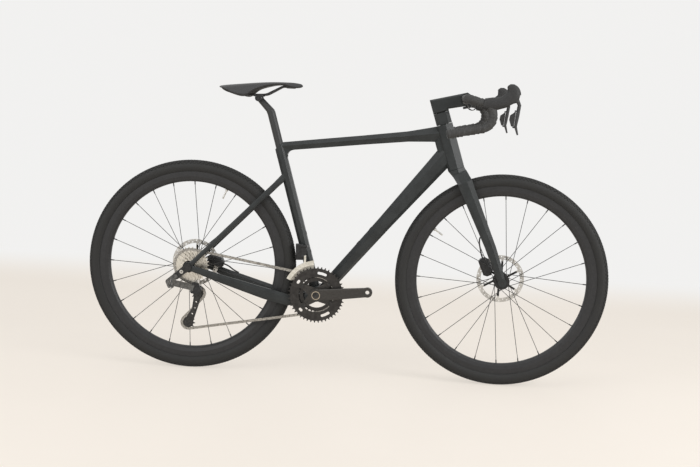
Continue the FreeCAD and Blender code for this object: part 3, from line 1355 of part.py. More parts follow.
def rear_brake_hose():
    """Short hose from the chainstay's port to the caliper."""
    centre, along = rear_caliper_place()
    up = Vector(-along.z, 0, along.x)
    front = centre + along * (REAR_CALIPER_SIZE[0] / 2)
    y = REAR_ROTOR_Y + 4.0
    end = Vector(front.x, y, front.z)
    drop = rear_caliper_foot() + CALIPER_GAP - HOSE_RADIUS - SEAM_GAP
    marks = ((0, 0, 0), (9, 0, 0), (22, drop * 0.25, 0), (35, drop * 0.7, 0), (46, drop - 1.5, 1.5),
             (58, drop, 2.5))
    points = [end + along * a - up * b - ALONG_Y * c for a, b, c in marks]
    return cord(points, HOSE_RADIUS)


# Seat

def post_top():
    return SEAT_TUBE_LENGTH + POST_EXPOSED


def clamp_bolt_place():
    return offset(seat(post_top()), -POST_HEAD_BACK, POST_HEAD_UP)


def seatpost():
    """Round post with a head that leans back to the cross bolt."""
    top = seat(post_top())
    pipe = cylinder(seat(SEAT_TUBE_LENGTH - POST_INSERT), top, POST_RADIUS)
    bolt = clamp_bolt_place()
    lean = (bolt - top).normalize()
    side_axis = Vector(-lean.z, 0, lean.x)
    neck = loft([circle_of_arcs(top - SEAT_UP * 3, SEAT_FORE, ALONG_Y, POST_RADIUS),
                 circle_of_arcs(top + SEAT_UP * 7 - SEAT_FORE * 1.5, SEAT_FORE, ALONG_Y, POST_RADIUS),
                 circle_of_arcs(bolt - lean * 6, side_axis * -1, ALONG_Y, POST_NECK_RADIUS)])
    head = across(bolt, -POST_HEAD_HALF, POST_HEAD_HALF, POST_HEAD_RADIUS)
    solid = join([pipe, neck, head])
    solid = solid.cut(cylinder(seat(SEAT_TUBE_LENGTH - POST_INSERT), top, POST_RADIUS - 2.5))
    for side in (-1, 1):
        face = side * (POST_HEAD_HALF + SEAM_GAP)
        solid = solid.cut(across(bolt, face - side * SEAM_GAP, side * 40, CLAMP_EAR_RADIUS + 1))
    return solid.cut(across(bolt, -40, 40, CLAMP_BOLT_RADIUS + RUNNING_FIT))


def rail_path(side):
    bolt = clamp_bolt_place()
    height = RAIL_ABOVE_BOLT
    points = [offset(bolt, -66, height + 17, side * RAIL_HALF_SPACING),
              offset(bolt, -40, height - 1, side * RAIL_HALF_SPACING),
              offset(bolt, 26, height + 2, side * RAIL_HALF_SPACING),
              offset(bolt, 78, RAIL_NOSE_HEIGHT, side * RAIL_NOSE_HALF_SPACING),
              offset(bolt, 111, RAIL_NOSE_HEIGHT, side * RAIL_NOSE_HALF_SPACING)]
    return rounded_path(points, [24.0, 40.0, 22.0])


def saddle_rails():
    return [rod(rail_path(side), RAIL_RADIUS) for side in (-1, 1)]


def saddle_clamp(rails):
    """Two ears that grip the rails, drawn together by the cross bolt."""
    bolt = clamp_bolt_place()
    parts = []
    inner = POST_HEAD_HALF + SEAM_GAP
    for side in (-1, 1):
        outer = inner + CLAMP_EAR_THICKNESS
        ear = across(bolt, side * inner, side * outer, CLAMP_EAR_RADIUS)
        rest = slab([offset(bolt, -15, RAIL_ABOVE_BOLT - 5), offset(bolt, 15, RAIL_ABOVE_BOLT - 4),
                     offset(bolt, 15, RAIL_ABOVE_BOLT + 4), offset(bolt, -15, RAIL_ABOVE_BOLT + 3)],
                    side * (inner + 3), side * outer)
        body = ear.fuse(rest).cut(Part.makeCompound(rails)).cut(across(bolt, -60, 60, CLAMP_BOLT_RADIUS))
        parts.append(max(body.removeSplitter().Solids, key=lambda solid: solid.Volume))
    reach = inner + CLAMP_EAR_THICKNESS
    shank = across(bolt, -reach, reach, CLAMP_BOLT_RADIUS)
    heads = [across(bolt, side * reach, side * (reach + CLAMP_BOLT_HEAD_LENGTH), CLAMP_BOLT_HEAD_RADIUS)
             for side in (-1, 1)]
    parts.append(join([shank] + heads))
    return Part.makeCompound(parts)


def saddle_section(station):
    """Closed outline across the saddle: a crowned skin, its sides drawn in, and a parallel skin below."""
    fore, half, top, edge, depth = station
    bolt = clamp_bolt_place()

    def at(y, z):
        return offset(bolt, fore, z, y)

    def skin(z_mid, z_edge, width):
        middle = z_edge + (z_mid - z_edge) * SADDLE_CROWN
        right = Part.Arc(at(width, z_edge), at(width * 0.62, middle), at(0, z_mid)).toShape()
        left = Part.Arc(at(0, z_mid), at(-width * 0.62, middle), at(-width, z_edge)).toShape()
        return right, left

    low = half - SADDLE_EDGE
    low_edge = edge - depth * 0.5
    right, left = skin(top, edge, half)
    under_right, under_left = skin(top - depth, low_edge, low)
    left_side = Part.LineSegment(at(-half, edge), at(-low, low_edge)).toShape()
    right_side = Part.LineSegment(at(low, low_edge), at(half, edge)).toShape()
    return Part.Wire([right, left, left_side, under_left, under_right, right_side])


def saddle_cover():
    """Padded cover: crowned along and across, its edges drawn in towards the base."""
    return loft([saddle_section(station) for station in SADDLE], False)


def saddle_shell(rails):
    """Base shell under the cover, with sockets for the rail ends."""
    wires = []
    for fore, half, top, edge, depth in SADDLE:
        base_top = top - depth - SEAM_GAP
        base_edge = edge - depth * 0.5 - SEAM_GAP
        wires.append(saddle_section((fore, half - SADDLE_EDGE, base_top, base_edge, SADDLE_SHELL_WALL)))
    bolt = clamp_bolt_place()
    length = SADDLE[-2][0] - SADDLE[1][0]
    span = Part.makeBox(length, 4 * SADDLE[2][1], 4 * SADDLE[2][1],
                        offset(bolt, SADDLE[1][0], -2 * SADDLE[2][1], -2 * SADDLE[2][1]))
    base = loft(wires, False).common(span)
    width = 3 * RAIL_NOSE_HALF_SPACING
    corner = offset(bolt, RAIL_SOCKET_FORE, RAIL_NOSE_HEIGHT - RAIL_RADIUS - RAIL_SOCKET_WALL, -width / 2)
    socket = Part.makeBox(RAIL_SOCKET_LENGTH, width, 2 * RAIL_RADIUS + RAIL_SOCKET_WALL, corner)
    socket = socket.cut(saddle_cover())
    base = base.fuse(socket).removeSplitter()
    for rail in rails:
        base = base.cut(rail)
    return max(base.Solids, key=lambda solid: solid.Volume)


# Drive

def pitch_radius(teeth):
    """Radius at which the chain's pins lie, with one pitch of arc for each tooth."""
    return CHAIN_PITCH * teeth / (2 * math.pi)


def toothed_face(teeth, centre, y, phase):
    """Toothed outline, with a valley at the phase angle."""
    radius = pitch_radius(teeth)
    root = radius - ROLLER_RADIUS - ROLLER_GAP
    tip = root + TOOTH_HEIGHT
    points = []
    for index in range(teeth):
        middle = phase + (index + 0.5) * 2 * math.pi / teeth
        for level, half in ((root, -TOOTH_ROOT_HALF), (tip, -TOOTH_TIP_HALF), (tip, TOOTH_TIP_HALF),
                            (root, TOOTH_ROOT_HALF)):
            angle = middle + half / level
            points.append(Vector(centre.x + level * math.cos(angle), y, centre.z + level * math.sin(angle)))
    return Part.Face(polygon(points))


def sprocket(teeth, centre, y, thickness, bore, phase):
    body = toothed_face(teeth, centre, y - thickness / 2, phase).extrude(Vector(0, thickness, 0))
    return body.cut(across(centre, y - thickness, y + thickness, bore))


def belt_tangent(first, second):
    """Heading of the straight run between two circles, each centre, radius and turning sense."""
    line = second[0] - first[0]
    shift = second[2] * second[1] - first[2] * first[1]
    length = math.sqrt(line.x ** 2 + line.z ** 2 - shift ** 2)
    return math.atan2(line.z, line.x) - math.atan2(shift, length), length


def tension_place(angle):
    turn = math.radians(angle)
    return offset(offset(REAR, *CAGE_PIVOT), TENSION_REACH * math.cos(turn), TENSION_REACH * math.sin(turn))


def chain_circles(angle):
    cog = pitch_radius(COG_TEETH[COG_IN_USE])
    pulley = pitch_radius(PULLEY_TEETH)
    return [(CRANK, pitch_radius(INNER_TEETH), 1), (REAR, cog, 1),
            (offset(REAR, *GUIDE_PULLEY), pulley, -1), (tension_place(angle), pulley, 1)]


def chain_runs(angle):
    """Straight runs and wraps of the chain: (heading, length, wrap on the next circle)."""
    circles = chain_circles(angle)
    headings = []
    for index, circle in enumerate(circles):
        headings.append(belt_tangent(circle, circles[(index + 1) % len(circles)]))
    runs = []
    for index, (heading, length) in enumerate(headings):
        after = circles[(index + 1) % len(circles)]
        turn = (headings[(index + 1) % len(circles)][0] - heading) * after[2] % (2 * math.pi)
        runs.append((heading, length, turn))
    return circles, runs


def chain_length(angle):
    circles, runs = chain_runs(angle)
    total = 0.0
    for index, (heading, length, turn) in enumerate(runs):
        total += length + turn * circles[(index + 1) % len(circles)][1]
    return total


def chain_fit():
    """Link count, and the cage angle at which that many pitches close the loop."""
    links = 2 * round(chain_length(TENSION_ANGLE) / (2 * CHAIN_PITCH))
    low = TENSION_ANGLE - 25.0
    high = TENSION_ANGLE + 25.0
    falling = chain_length(low) > chain_length(high)
    for _ in range(60):
        middle = (low + high) / 2
        if (chain_length(middle) > links * CHAIN_PITCH) == falling:
            low = middle
        else:
            high = middle
    return links, (low + high) / 2


CHAIN_LINKS, CAGE_ANGLE = chain_fit()


def chain_pins():
    """Pin places round the loop, and a valley angle for each wheel that the chain runs on."""
    circles, runs = chain_runs(CAGE_ANGLE)
    sides = [INNER_RING_Y] + [COG_Y - COG_PITCH * COG_IN_USE] * 3
    pins = []
    valleys = {}
    travelled = 0.0
    step = 0
    for index, (heading, length, turn) in enumerate(runs):
        here = circles[index]
        next_index = (index + 1) % len(circles)
        after = circles[next_index]
        left = Vector(-math.sin(heading), 0, math.cos(heading))
        start = here[0] - left * (here[2] * here[1])
        while step * CHAIN_PITCH <= travelled + length:
            part = (step * CHAIN_PITCH - travelled) / length
            level = CHAIN_LEVEL_LINKS * CHAIN_PITCH / length
            shift = min(1.0, max(0.0, (part - level) / (1 - 2 * level)))
            y = sides[index] + (sides[next_index] - sides[index]) * shift
            along = Vector(math.cos(heading), 0, math.sin(heading)) * (part * length)
            pins.append(start + along + ALONG_Y * y)
            step += 1
        travelled += length
        arc = turn * after[1]
        while step * CHAIN_PITCH <= travelled + arc and step < CHAIN_LINKS:
            swept = (step * CHAIN_PITCH - travelled) / after[1] * after[2]
            angle = heading - after[2] * math.pi / 2 + swept
            pins.append(offset(after[0], after[1] * math.cos(angle), after[1] * math.sin(angle)) +
                        ALONG_Y * sides[next_index])
            valleys[next_index] = angle
            step += 1
        travelled += arc
    return pins[:CHAIN_LINKS], valleys


PINS, VALLEYS = chain_pins()


def link_solid(outer):
    """One chain link along X from the origin: an outer link with pins or an inner one with rollers."""
    inner_face = INNER_GAP / 2
    if outer:
        inner_face += PLATE_THICKNESS + PLATE_SPACE
    start = Vector(0, 0, 0)
    end = Vector(CHAIN_PITCH, 0, 0)
    parts = []
    for side in (-1, 1):
        parts.append(strap([(start, PLATE_RADIUS), (end, PLATE_RADIUS)], side * inner_face,
                           side * (inner_face + PLATE_THICKNESS)))
    reach = inner_face + PLATE_THICKNESS
    if outer:
        parts += [across(place, -reach, reach, PIN_RADIUS) for place in (start, end)]
        return join(parts)
    body = join(parts + [across(place, -inner_face, inner_face, ROLLER_RADIUS) for place in (start, end)])
    for place in (start, end):
        body = body.cut(across(place, -reach - 1, reach + 1, PIN_RADIUS + PIN_CLEARANCE))
    return body


def chain():
    """Closed chain of alternate inner and outer links, each turned to lie along its two pins."""
    kinds = (link_solid(True), link_solid(False))
    links = []
    for index, pin in enumerate(PINS):
        following = PINS[(index + 1) % CHAIN_LINKS]
        ahead = (following - pin).normalize()
        up = ahead.cross(ALONG_Y).normalize()
        side = up.cross(ahead)
        link = kinds[index % 2].copy()
        link.Placement = FreeCAD.Placement(FreeCAD.Matrix(
            ahead.x, side.x, up.x, pin.x,
            ahead.y, side.y, up.y, pin.y,
            ahead.z, side.z, up.z, pin.z,
            0, 0, 0, 1))
        links.append(link)
    return Part.makeCompound(links)


def cassette():
    """Freehub body and its cogs, largest next to the spokes."""
    right = COG_Y - COG_PITCH * (len(COG_TEETH) - 1) - COG_THICKNESS
    left = COG_Y + COG_THICKNESS + 1.5
    freehub = across(REAR, right, left, FREEHUB_RADIUS)
    freehub = freehub.cut(across(REAR, right - 1, left + 1, HUB_END_RADIUS + RUNNING_FIT))
    parts = [freehub]
    for index, teeth in enumerate(COG_TEETH):
        phase = VALLEYS[1] if index == COG_IN_USE else VALLEYS[1] + index * 0.3
        parts.append(sprocket(teeth, REAR, COG_Y - COG_PITCH * index, COG_THICKNESS, FREEHUB_RADIUS, phase))
    return Part.makeCompound(parts)


def spider_places(radius):
    """Bolt places on the spider, counted from the right crank arm."""
    places = []
    for angle in SPIDER_ANGLES:
        turn = math.radians(CRANK_LIFT + angle)
        places.append(offset(CRANK, radius * math.cos(turn), radius * math.sin(turn)))
    return places


def chainring(teeth, y, band, bolt_radius, phase):
    """Toothed ring with a tab at each spider bolt, and windows where its band is wide."""
    low = y - RING_THICKNESS / 2
    high = y + RING_THICKNESS / 2
    inner = pitch_radius(teeth) - ROLLER_RADIUS - band
    body = sprocket(teeth, CRANK, y, RING_THICKNESS, inner, phase)
    tabs = []
    for place in spider_places(bolt_radius):
        away = (place - CRANK).normalize()
        root = CRANK + away * (inner + 2)
        tabs.append(strap([(place, RING_TAB_RADIUS), (root, RING_TAB_RADIUS * 1.3)], low, high))
    limit = across(CRANK, low, high, inner + 2.5)
    tabs = [tab.common(limit) for tab in tabs]
    body = join([body] + tabs)
    if inner < RING_WINDOW_RADIUS - 2 * RING_WINDOW_HALF:
        body = ring_windows(body, low, high)
    for place in spider_places(bolt_radius):
        body = body.cut(across(place, low - 1, high + 1, RING_BOLT_RADIUS + RUNNING_FIT))
    return body


def ring_windows(body, low, high):
    """Ring with its curved windows cut through."""
    for middle, half in RING_WINDOWS:
        ends = []
        for angle in (middle - half, middle, middle + half):
            turn = math.radians(CRANK_LIFT + angle)
            place = offset(CRANK, RING_WINDOW_RADIUS * math.cos(turn), RING_WINDOW_RADIUS * math.sin(turn))
            ends.append((place, RING_WINDOW_HALF))
        body = body.cut(strap(ends, low - 1, high + 1))
    return body


def crank_bar(side, angle):
    """Tapering arm from the axle to the pedal eye on one side, with both round ends."""
    turn = math.radians(angle)
    eye = offset(CRANK, CRANK_LENGTH * math.cos(turn), CRANK_LENGTH * math.sin(turn))
    along = (eye - CRANK).normalize()
    up = Vector(-along.z, 0, along.x)

    def section(place, half, face):
        bevel = CRANK_BEVEL
        inner = face - CRANK_THICKNESS
        marks = ((-half + bevel, face), (half - bevel, face), (half, face - bevel), (half, inner + bevel),
                 (half - bevel, inner), (-half + bevel, inner), (-half, inner + bevel), (-half, face - bevel))
        return polygon([place + up * a + ALONG_Y * (side * b) for a, b in marks])

    bar = loft([section(CRANK, CRANK_HUB_RADIUS - 1, CRANK_FACE_HUB),
                section(eye, CRANK_END_RADIUS - 1, CRANK_FACE_PEDAL)])
    hub_inner = CRANK_FACE_HUB - CRANK_THICKNESS - 6
    eye_inner = CRANK_FACE_PEDAL - CRANK_THICKNESS
    hub_end = across(CRANK, side * hub_inner, side * CRANK_FACE_HUB, CRANK_HUB_RADIUS)
    eye_end = across(eye, side * eye_inner, side * CRANK_FACE_PEDAL, CRANK_END_RADIUS)
    body = join([bar, hub_end, eye_end])
    return body.cut(across(eye, side * 30, side * 100, PEDAL_BORE))


def cap_seat(side):
    """Hole for the cap in the face of one crank arm."""
    face = side * CRANK_FACE_HUB
    return across(CRANK, face - side * CRANK_CAP_HEIGHT * 2, face + side * 9, CRANK_CAP_RADIUS)


def crank_arm_right():
    """Drive side arm with the spider and the spindle that runs through the frame."""
    ring_face = OUTER_RING_Y + RING_THICKNESS / 2 + RUNNING_FIT
    inner = ring_face + SPIDER_THICKNESS
    parts = [crank_bar(-1, CRANK_LIFT)]
    parts.append(across(CRANK, -(CRANK_FACE_HUB - CRANK_THICKNESS), inner, CRANK_HUB_RADIUS + 2))
    for place in spider_places(OUTER_BOLT_RADIUS):
        parts.append(strap([(CRANK, CRANK_HUB_RADIUS), (place, RING_TAB_RADIUS - 1)], ring_face, inner))
    inner_ring_face = INNER_RING_Y - RING_THICKNESS / 2 - RUNNING_FIT
    for place in spider_places(INNER_BOLT_RADIUS):
        parts.append(across(place, inner, inner_ring_face, RING_TAB_RADIUS - 1))
    spindle_end = CRANK_FACE_HUB - CRANK_CAP_HEIGHT * 3 - RUNNING_FIT
    parts.append(across(CRANK, -CRANK_FACE_HUB + 5, spindle_end, SPINDLE_RADIUS))
    body = join(parts)
    for place in spider_places(OUTER_BOLT_RADIUS):
        body = body.cut(across(place, -70, -40, RING_BOLT_RADIUS + RUNNING_FIT))
    for place in spider_places(INNER_BOLT_RADIUS):
        body = body.cut(across(place, -60, -40, RING_BOLT_RADIUS + RUNNING_FIT))
    body = body.cut(cap_seat(-1))
    return body.cut(across(CRANK, -CRANK_FACE_HUB + 8, 100, SPINDLE_RADIUS - SPINDLE_WALL))


def crank_arm_left():
    body = crank_bar(1, CRANK_LIFT + 180.0)
    body = body.cut(across(CRANK, 0, CRANK_FACE_HUB - CRANK_CAP_HEIGHT * 3, SPINDLE_RADIUS + RUNNING_FIT))
    return body.cut(cap_seat(1))


def crank_bolts():
    """Chainring bolts on both circles, and the cap set into each end of the axle."""
    parts = []
    outer_face = OUTER_RING_Y - RING_THICKNESS / 2
    spider_inner = OUTER_RING_Y + RING_THICKNESS / 2 + RUNNING_FIT + SPIDER_THICKNESS
    for place in spider_places(OUTER_BOLT_RADIUS):
        head = across(place, outer_face - RING_BOLT_HEAD_LENGTH, outer_face, RING_BOLT_HEAD_RADIUS)
        shank = across(place, outer_face, spider_inner, RING_BOLT_RADIUS)
        parts.append(head.fuse(shank).removeSplitter())
    inner_face = INNER_RING_Y + RING_THICKNESS / 2
    for place in spider_places(INNER_BOLT_RADIUS):
        head = across(place, inner_face, inner_face + RING_BOLT_HEAD_LENGTH, RING_BOLT_HEAD_RADIUS)
        shank = across(place, inner_face, spider_inner - SPIDER_THICKNESS, RING_BOLT_RADIUS)
        parts.append(head.fuse(shank).removeSplitter())
    for side in (-1, 1):
        parts.append(across(CRANK, side * (CRANK_FACE_HUB - CRANK_CAP_HEIGHT * 2),
                            side * (CRANK_FACE_HUB + CRANK_CAP_HEIGHT * 0.6), CRANK_CAP_RADIUS - RUNNING_FIT))
    return Part.makeCompound(parts)


# Rear derailleur

def link_axis():
    """Direction of the parallelogram's pins, square to the link seen from the side."""
    way = Vector(LINK_FRONT[0] - LINK_REAR[0], 0, LINK_FRONT[1] - LINK_REAR[1]).normalize()
    return Vector(-way.z, 0, way.x)


def link_rear():
    return offset(REAR, *LINK_REAR, LINK_REAR_Y)


def link_front():
    return offset(REAR, *LINK_FRONT, LINK_FRONT_Y)


def pin_at(place, radius, length):
    axis = link_axis()
    return cylinder(place - axis * (length / 2), place + axis * (length / 2), radius)


def knuckle_spine(root, pin, marks):
    """Outline of a spine from a knuckle's barrel round the lugs of a link pin."""
    return [root] + [(offset(pin, fore, up), radius) for fore, up, radius in marks]


def pin_lugs(pin, length):
    """Lug above and below the link's eye on one pin."""
    axis = link_axis()
    lugs = []
    for end in (-1, 1):
        low = pin + axis * (end * (LINK_HEIGHT / 2 + SEAM_GAP))
        lugs.append(cylinder(low, low + axis * (end * length), LUG_RADIUS))
    return lugs


def rear_derailleur_body():
    """Knuckle bolted under the hanger, with two lugs that hold the link's rear pin."""
    pivot = offset(REAR, *HANGER_PIVOT)
    inner_face = -REAR_SPACING / 2 - DROPOUT_THICKNESS + SEAM_GAP
    barrel = across(pivot, inner_face, LINK_REAR_Y + BARREL_OVERRUN, BARREL_RADIUS)
    hanger_face = -REAR_SPACING / 2 - DROPOUT_THICKNESS - HANGER_THICKNESS
    bolt = across(pivot, hanger_face - HANGER_HEAD_LENGTH / 2, inner_face, LINK_PIN_RADIUS * 2 - RUNNING_FIT)
    head = across(pivot, hanger_face - HANGER_HEAD_LENGTH, hanger_face - SEAM_GAP, HANGER_HEAD_RADIUS)
    rear = link_rear()
    pin = pin_at(rear, LINK_PIN_RADIUS, LINK_HEIGHT + 2 * REAR_LUG + 2)
    parts = [barrel, bolt, head, pin] + pin_lugs(rear, REAR_LUG)
    spine = strap(knuckle_spine((pivot, SPINE_ROOT), rear, REAR_SPINE), LINK_REAR_Y - SPINE_HALF,
                  LINK_REAR_Y + SPINE_HALF)
    spine = spine.cut(pin_at(rear, REAR_EYE_ROOM, LINK_HEIGHT + 2 * SEAM_GAP))
    return join(parts + [spine])


def link_bar(clearance_up, clearance_side):
    """Bar between the two link pins, larger all round by its clearances."""
    rear = link_rear()
    run = link_front() - rear
    up = link_axis()
    side = up.cross(Vector(run).normalize())
    half_h = LINK_HEIGHT / 2 + clearance_up
    half_t = LINK_THICKNESS / 2 + clearance_side
    marks = ((-half_h, -half_t), (-half_h, half_t), (half_h, half_t), (half_h, -half_t))
    return Part.Face(polygon([rear + up * a + side * b for a, b in marks])).extrude(run)


def rear_derailleur_link():
    """Parallelogram link between the two knuckles."""
    pins = (link_rear(), link_front())
    body = join([link_bar(0, 0)] + [pin_at(pin, LINK_EYE_RADIUS, LINK_HEIGHT) for pin in pins])
    for pin in pins:
        body = body.cut(pin_at(pin, LINK_PIN_RADIUS + RUNNING_FIT, LINK_HEIGHT * 2))
    return body


def rear_derailleur_knuckle():
    """Front knuckle: lugs round the link's front pin and the barrel that the cage turns in."""
    front = link_front()
    pivot = offset(REAR, *CAGE_PIVOT)
    cage_face = cage_outer_y() - CAGE_PLATE - SEAM_GAP
    parts = pin_lugs(front, FRONT_LUG) + [across(pivot, cage_face, KNUCKLE_OUTER_Y, KNUCKLE_RADIUS)]
    root = (pivot, KNUCKLE_RADIUS - 1)
    for marks in (FRONT_SPINE, FRONT_FOOT):
        parts.append(strap(knuckle_spine(root, front, marks), LINK_FRONT_Y - SPINE_HALF,
                           LINK_FRONT_Y + SPINE_HALF))
    body = join(parts)
    body = body.cut(pin_at(front, FRONT_EYE_ROOM, LINK_HEIGHT + 2 * SEAM_GAP))
    for swing in LINK_SWINGS:
        room = link_bar(SEAM_GAP, LINK_CLEARANCE)
        room.rotate(front, link_axis(), -swing)
        body = body.cut(room)
    body = max(body.Solids, key=lambda solid: solid.Volume)
    body = body.fuse(pin_at(front, LINK_PIN_RADIUS, LINK_HEIGHT + 2 * FRONT_LUG + 2)).removeSplitter()
    return body.cut(across(pivot, KNUCKLE_OUTER_Y + KNUCKLE_WALL, 0, CAGE_PIN_RADIUS + RUNNING_FIT))


def cage_middle_y():
    return COG_Y - COG_PITCH * COG_IN_USE


def cage_outer_y():
    return cage_middle_y() - CAGE_GAP


def rear_derailleur_cage():
    """Two plates that carry the pulleys, turning on a pin in the front knuckle."""
    pivot = offset(REAR, *CAGE_PIVOT)
    guide = offset(REAR, *GUIDE_PULLEY)
    tension = tension_place(CAGE_ANGLE)
    middle = cage_middle_y()
    reach = CAGE_GAP + CAGE_PLATE
    waist = guide + (tension - guide) * CAGE_WAIST + Vector(CAGE_BOW, 0, 0)
    holes = [guide + (waist - guide) * (share / CAGE_WAIST) for share in CAGE_HOLES]
    holes.append(waist + (tension - waist) * CAGE_LAST_HOLE)
    circles = [(guide, CAGE_GUIDE_RADIUS), (waist, CAGE_WAIST_RADIUS), (tension, CAGE_TENSION_RADIUS)]
    arm = list(zip((pivot, guide), CAGE_ARM_RADII))
    parts = []
    for side in (-1, 1):
        low = middle + side * CAGE_GAP
        high = middle + side * reach
        plate = strap(circles, low, high)
        if side < 0:
            plate = plate.fuse(strap(arm, low, high)).removeSplitter()
        for hole in holes:
            plate = plate.cut(across(hole, middle - 2 * reach, middle + 2 * reach, CAGE_HOLE_RADIUS))
        parts.append(plate)
    for place in (guide, tension):
        parts.append(across(place, middle - reach, middle + reach, PULLEY_PIN_RADIUS))
    parts.append(across(pivot, middle - reach, KNUCKLE_OUTER_Y + KNUCKLE_WALL + SEAM_GAP, CAGE_PIN_RADIUS))
    return join(parts)


def pulley(place, valley):
    middle = cage_middle_y()
    half = CAGE_GAP - SEAM_GAP
    bore = PULLEY_PIN_RADIUS + RUNNING_FIT
    wheel = sprocket(PULLEY_TEETH, place, middle, PULLEY_THICKNESS, bore, valley)
    body = join([wheel, across(place, middle - half, middle + half, PULLEY_BOSS_RADIUS)])
    for index in range(PULLEY_HOLES):
        turn = 2 * math.pi * index / PULLEY_HOLES
        hole = offset(place, PULLEY_HOLE_CIRCLE * math.cos(turn), PULLEY_HOLE_CIRCLE * math.sin(turn))
        body = body.cut(across(hole, middle - 2 * half, middle + 2 * half, PULLEY_HOLE_RADIUS))
    return body.cut(across(place, middle - 2 * half, middle + 2 * half, bore))


# Front derailleur

def swing_pin(up, back, front, radius):
    """Rod along X at the swing arm's side offset, at a height above the crank axle."""
    return cylinder(offset(CRANK, back, up, SWING_Y), offset(CRANK, front, up, SWING_Y), radius)


def front_derailleur_body():
    """Motor box on the seat tube, with two lugs that hold the swing arm's pin."""
    outline = [offset(CRANK, *point) for point in SHIFTER_BOX]
    near = -SEAT_TUBE_WIDTH / 2 - SEAM_GAP
    far = near - SHIFTER_BOX_WIDTH
    parts = [bevelled_slab(outline, near, far, SHIFTER_BOX_BEVEL)]
    lug_low = SWING_TOP - SWING_LUG_HEIGHT / 2
    back_lug = (SWING_BACK - SWING_LUG, SWING_BACK - SEAM_GAP)
    front_lug = (SWING_FRONT + SEAM_GAP, SWING_FRONT + SWING_LUG)
    for back, front in (back_lug, front_lug):
        arm = Part.makeBox(front - back, abs(SWING_Y) - SHIFTER_BOX_WIDTH, SWING_LUG_HEIGHT,
                           offset(CRANK, back, lug_low, SWING_Y))
        parts += [swing_pin(SWING_TOP, back, front, SWING_BARREL), arm]
    parts.append(Part.makeBox(SWING_FRONT - SWING_BACK + 2 * SWING_BRIDGE_END, SWING_BRIDGE, SWING_LUG_HEIGHT,
                              offset(CRANK, SWING_BACK - SWING_BRIDGE_END, lug_low, far + 1)))
    eye_room = swing_pin(SWING_TOP, SWING_BACK - SEAM_GAP, SWING_FRONT + SEAM_GAP, SWING_BARREL + 0.5)
    depth, below = SWING_ROOM
    room_low = SWING_TOP - SWING_LENGTH - below
    arm_room = Part.makeBox(SWING_FRONT - SWING_BACK + 2 * SEAM_GAP, depth, SWING_LENGTH + below,
                            offset(CRANK, SWING_BACK - SEAM_GAP, room_low, SWING_ROOM_Y))
    body = join(parts).cut(eye_room).cut(arm_room)
    body = max(body.Solids, key=lambda solid: solid.Volume)
    return body.fuse(swing_pin(SWING_TOP, back_lug[0], front_lug[1], SWING_PIN_RADIUS)).removeSplitter()


def front_derailleur_link():
    """Swing arm: a plate hung on the upper pin, with the lower pin fixed in it."""
    low = SWING_TOP - SWING_LENGTH
    split = (SWING_BACK + SWING_FRONT) / 2 + 1
    upper = swing_pin(SWING_TOP, SWING_BACK, SWING_FRONT, SWING_BARREL)
    plate = Part.makeBox(SWING_FRONT - SWING_BACK, SWING_PLATE, SWING_LENGTH,
                         offset(CRANK, SWING_BACK, low, SWING_Y - SWING_PLATE / 2))
    lower = swing_pin(low, SWING_BACK, split, SWING_BARREL)
    pin = swing_pin(low, SWING_BACK, SWING_FRONT, SWING_PIN_RADIUS)
    body = join([upper, plate, lower])
    body = body.cut(swing_pin(low, split, SWING_FRONT + 1, SWING_BARREL + 0.8))
    body = max(body.Solids, key=lambda solid: solid.Volume)
    body = body.fuse(pin).removeSplitter()
    return body.cut(swing_pin(SWING_TOP, SWING_BACK - 5, SWING_FRONT + 5, SWING_PIN_RADIUS + RUNNING_FIT))


def ring_sector(inner, outer, first, last, y_from, y_to):
    """Curved plate round the crank axle between two angles."""
    steps = 8
    turns = [math.radians(first + (last - first) * i / steps) for i in range(steps + 1)]
    points = [offset(CRANK, inner * math.cos(t), inner * math.sin(t)) for t in turns]
    points += [offset(CRANK, outer * math.cos(t), outer * math.sin(t)) for t in reversed(turns)]
    return slab(points, y_from, y_to)


def front_derailleur_cage():
    """Two plates either side of the chain, joined over the top and at the tail."""
    low = SWING_TOP - SWING_LENGTH
    split = (SWING_BACK + SWING_FRONT) / 2 + 1 + SEAM_GAP
    reach = (FD_FRONT_ANGLE, FD_REAR_ANGLE)
    outer = ring_sector(FD_OUTER_EDGE, FD_TOP_EDGE, *reach, FD_OUTER_Y - FD_PLATE, FD_OUTER_Y)
    inner = ring_sector(FD_INNER_EDGE, FD_TOP_EDGE, *reach, FD_INNER_Y, FD_INNER_Y + FD_PLATE)
    top = ring_sector(FD_TOP_EDGE - FD_BRIDGE, FD_TOP_EDGE, *FD_BRIDGE_ANGLES, FD_OUTER_Y, FD_INNER_Y)
    tail = ring_sector(FD_OUTER_EDGE + FD_TAIL_INSET, FD_TOP_EDGE, *FD_TAIL_ANGLES, FD_OUTER_Y, FD_INNER_Y)
    barrel = swing_pin(low, split, SWING_FRONT, SWING_BARREL)
    neck = Part.makeBox(SWING_FRONT - split, SWING_PLATE, low - FD_NECK_LOW,
                        offset(CRANK, split, FD_NECK_LOW, SWING_Y - SWING_PLATE / 2))
    body = join([outer, inner, top, tail, barrel, neck])
    return body.cut(swing_pin(low, split - 5, SWING_FRONT + 5, SWING_PIN_RADIUS + RUNNING_FIT))


# Assembly

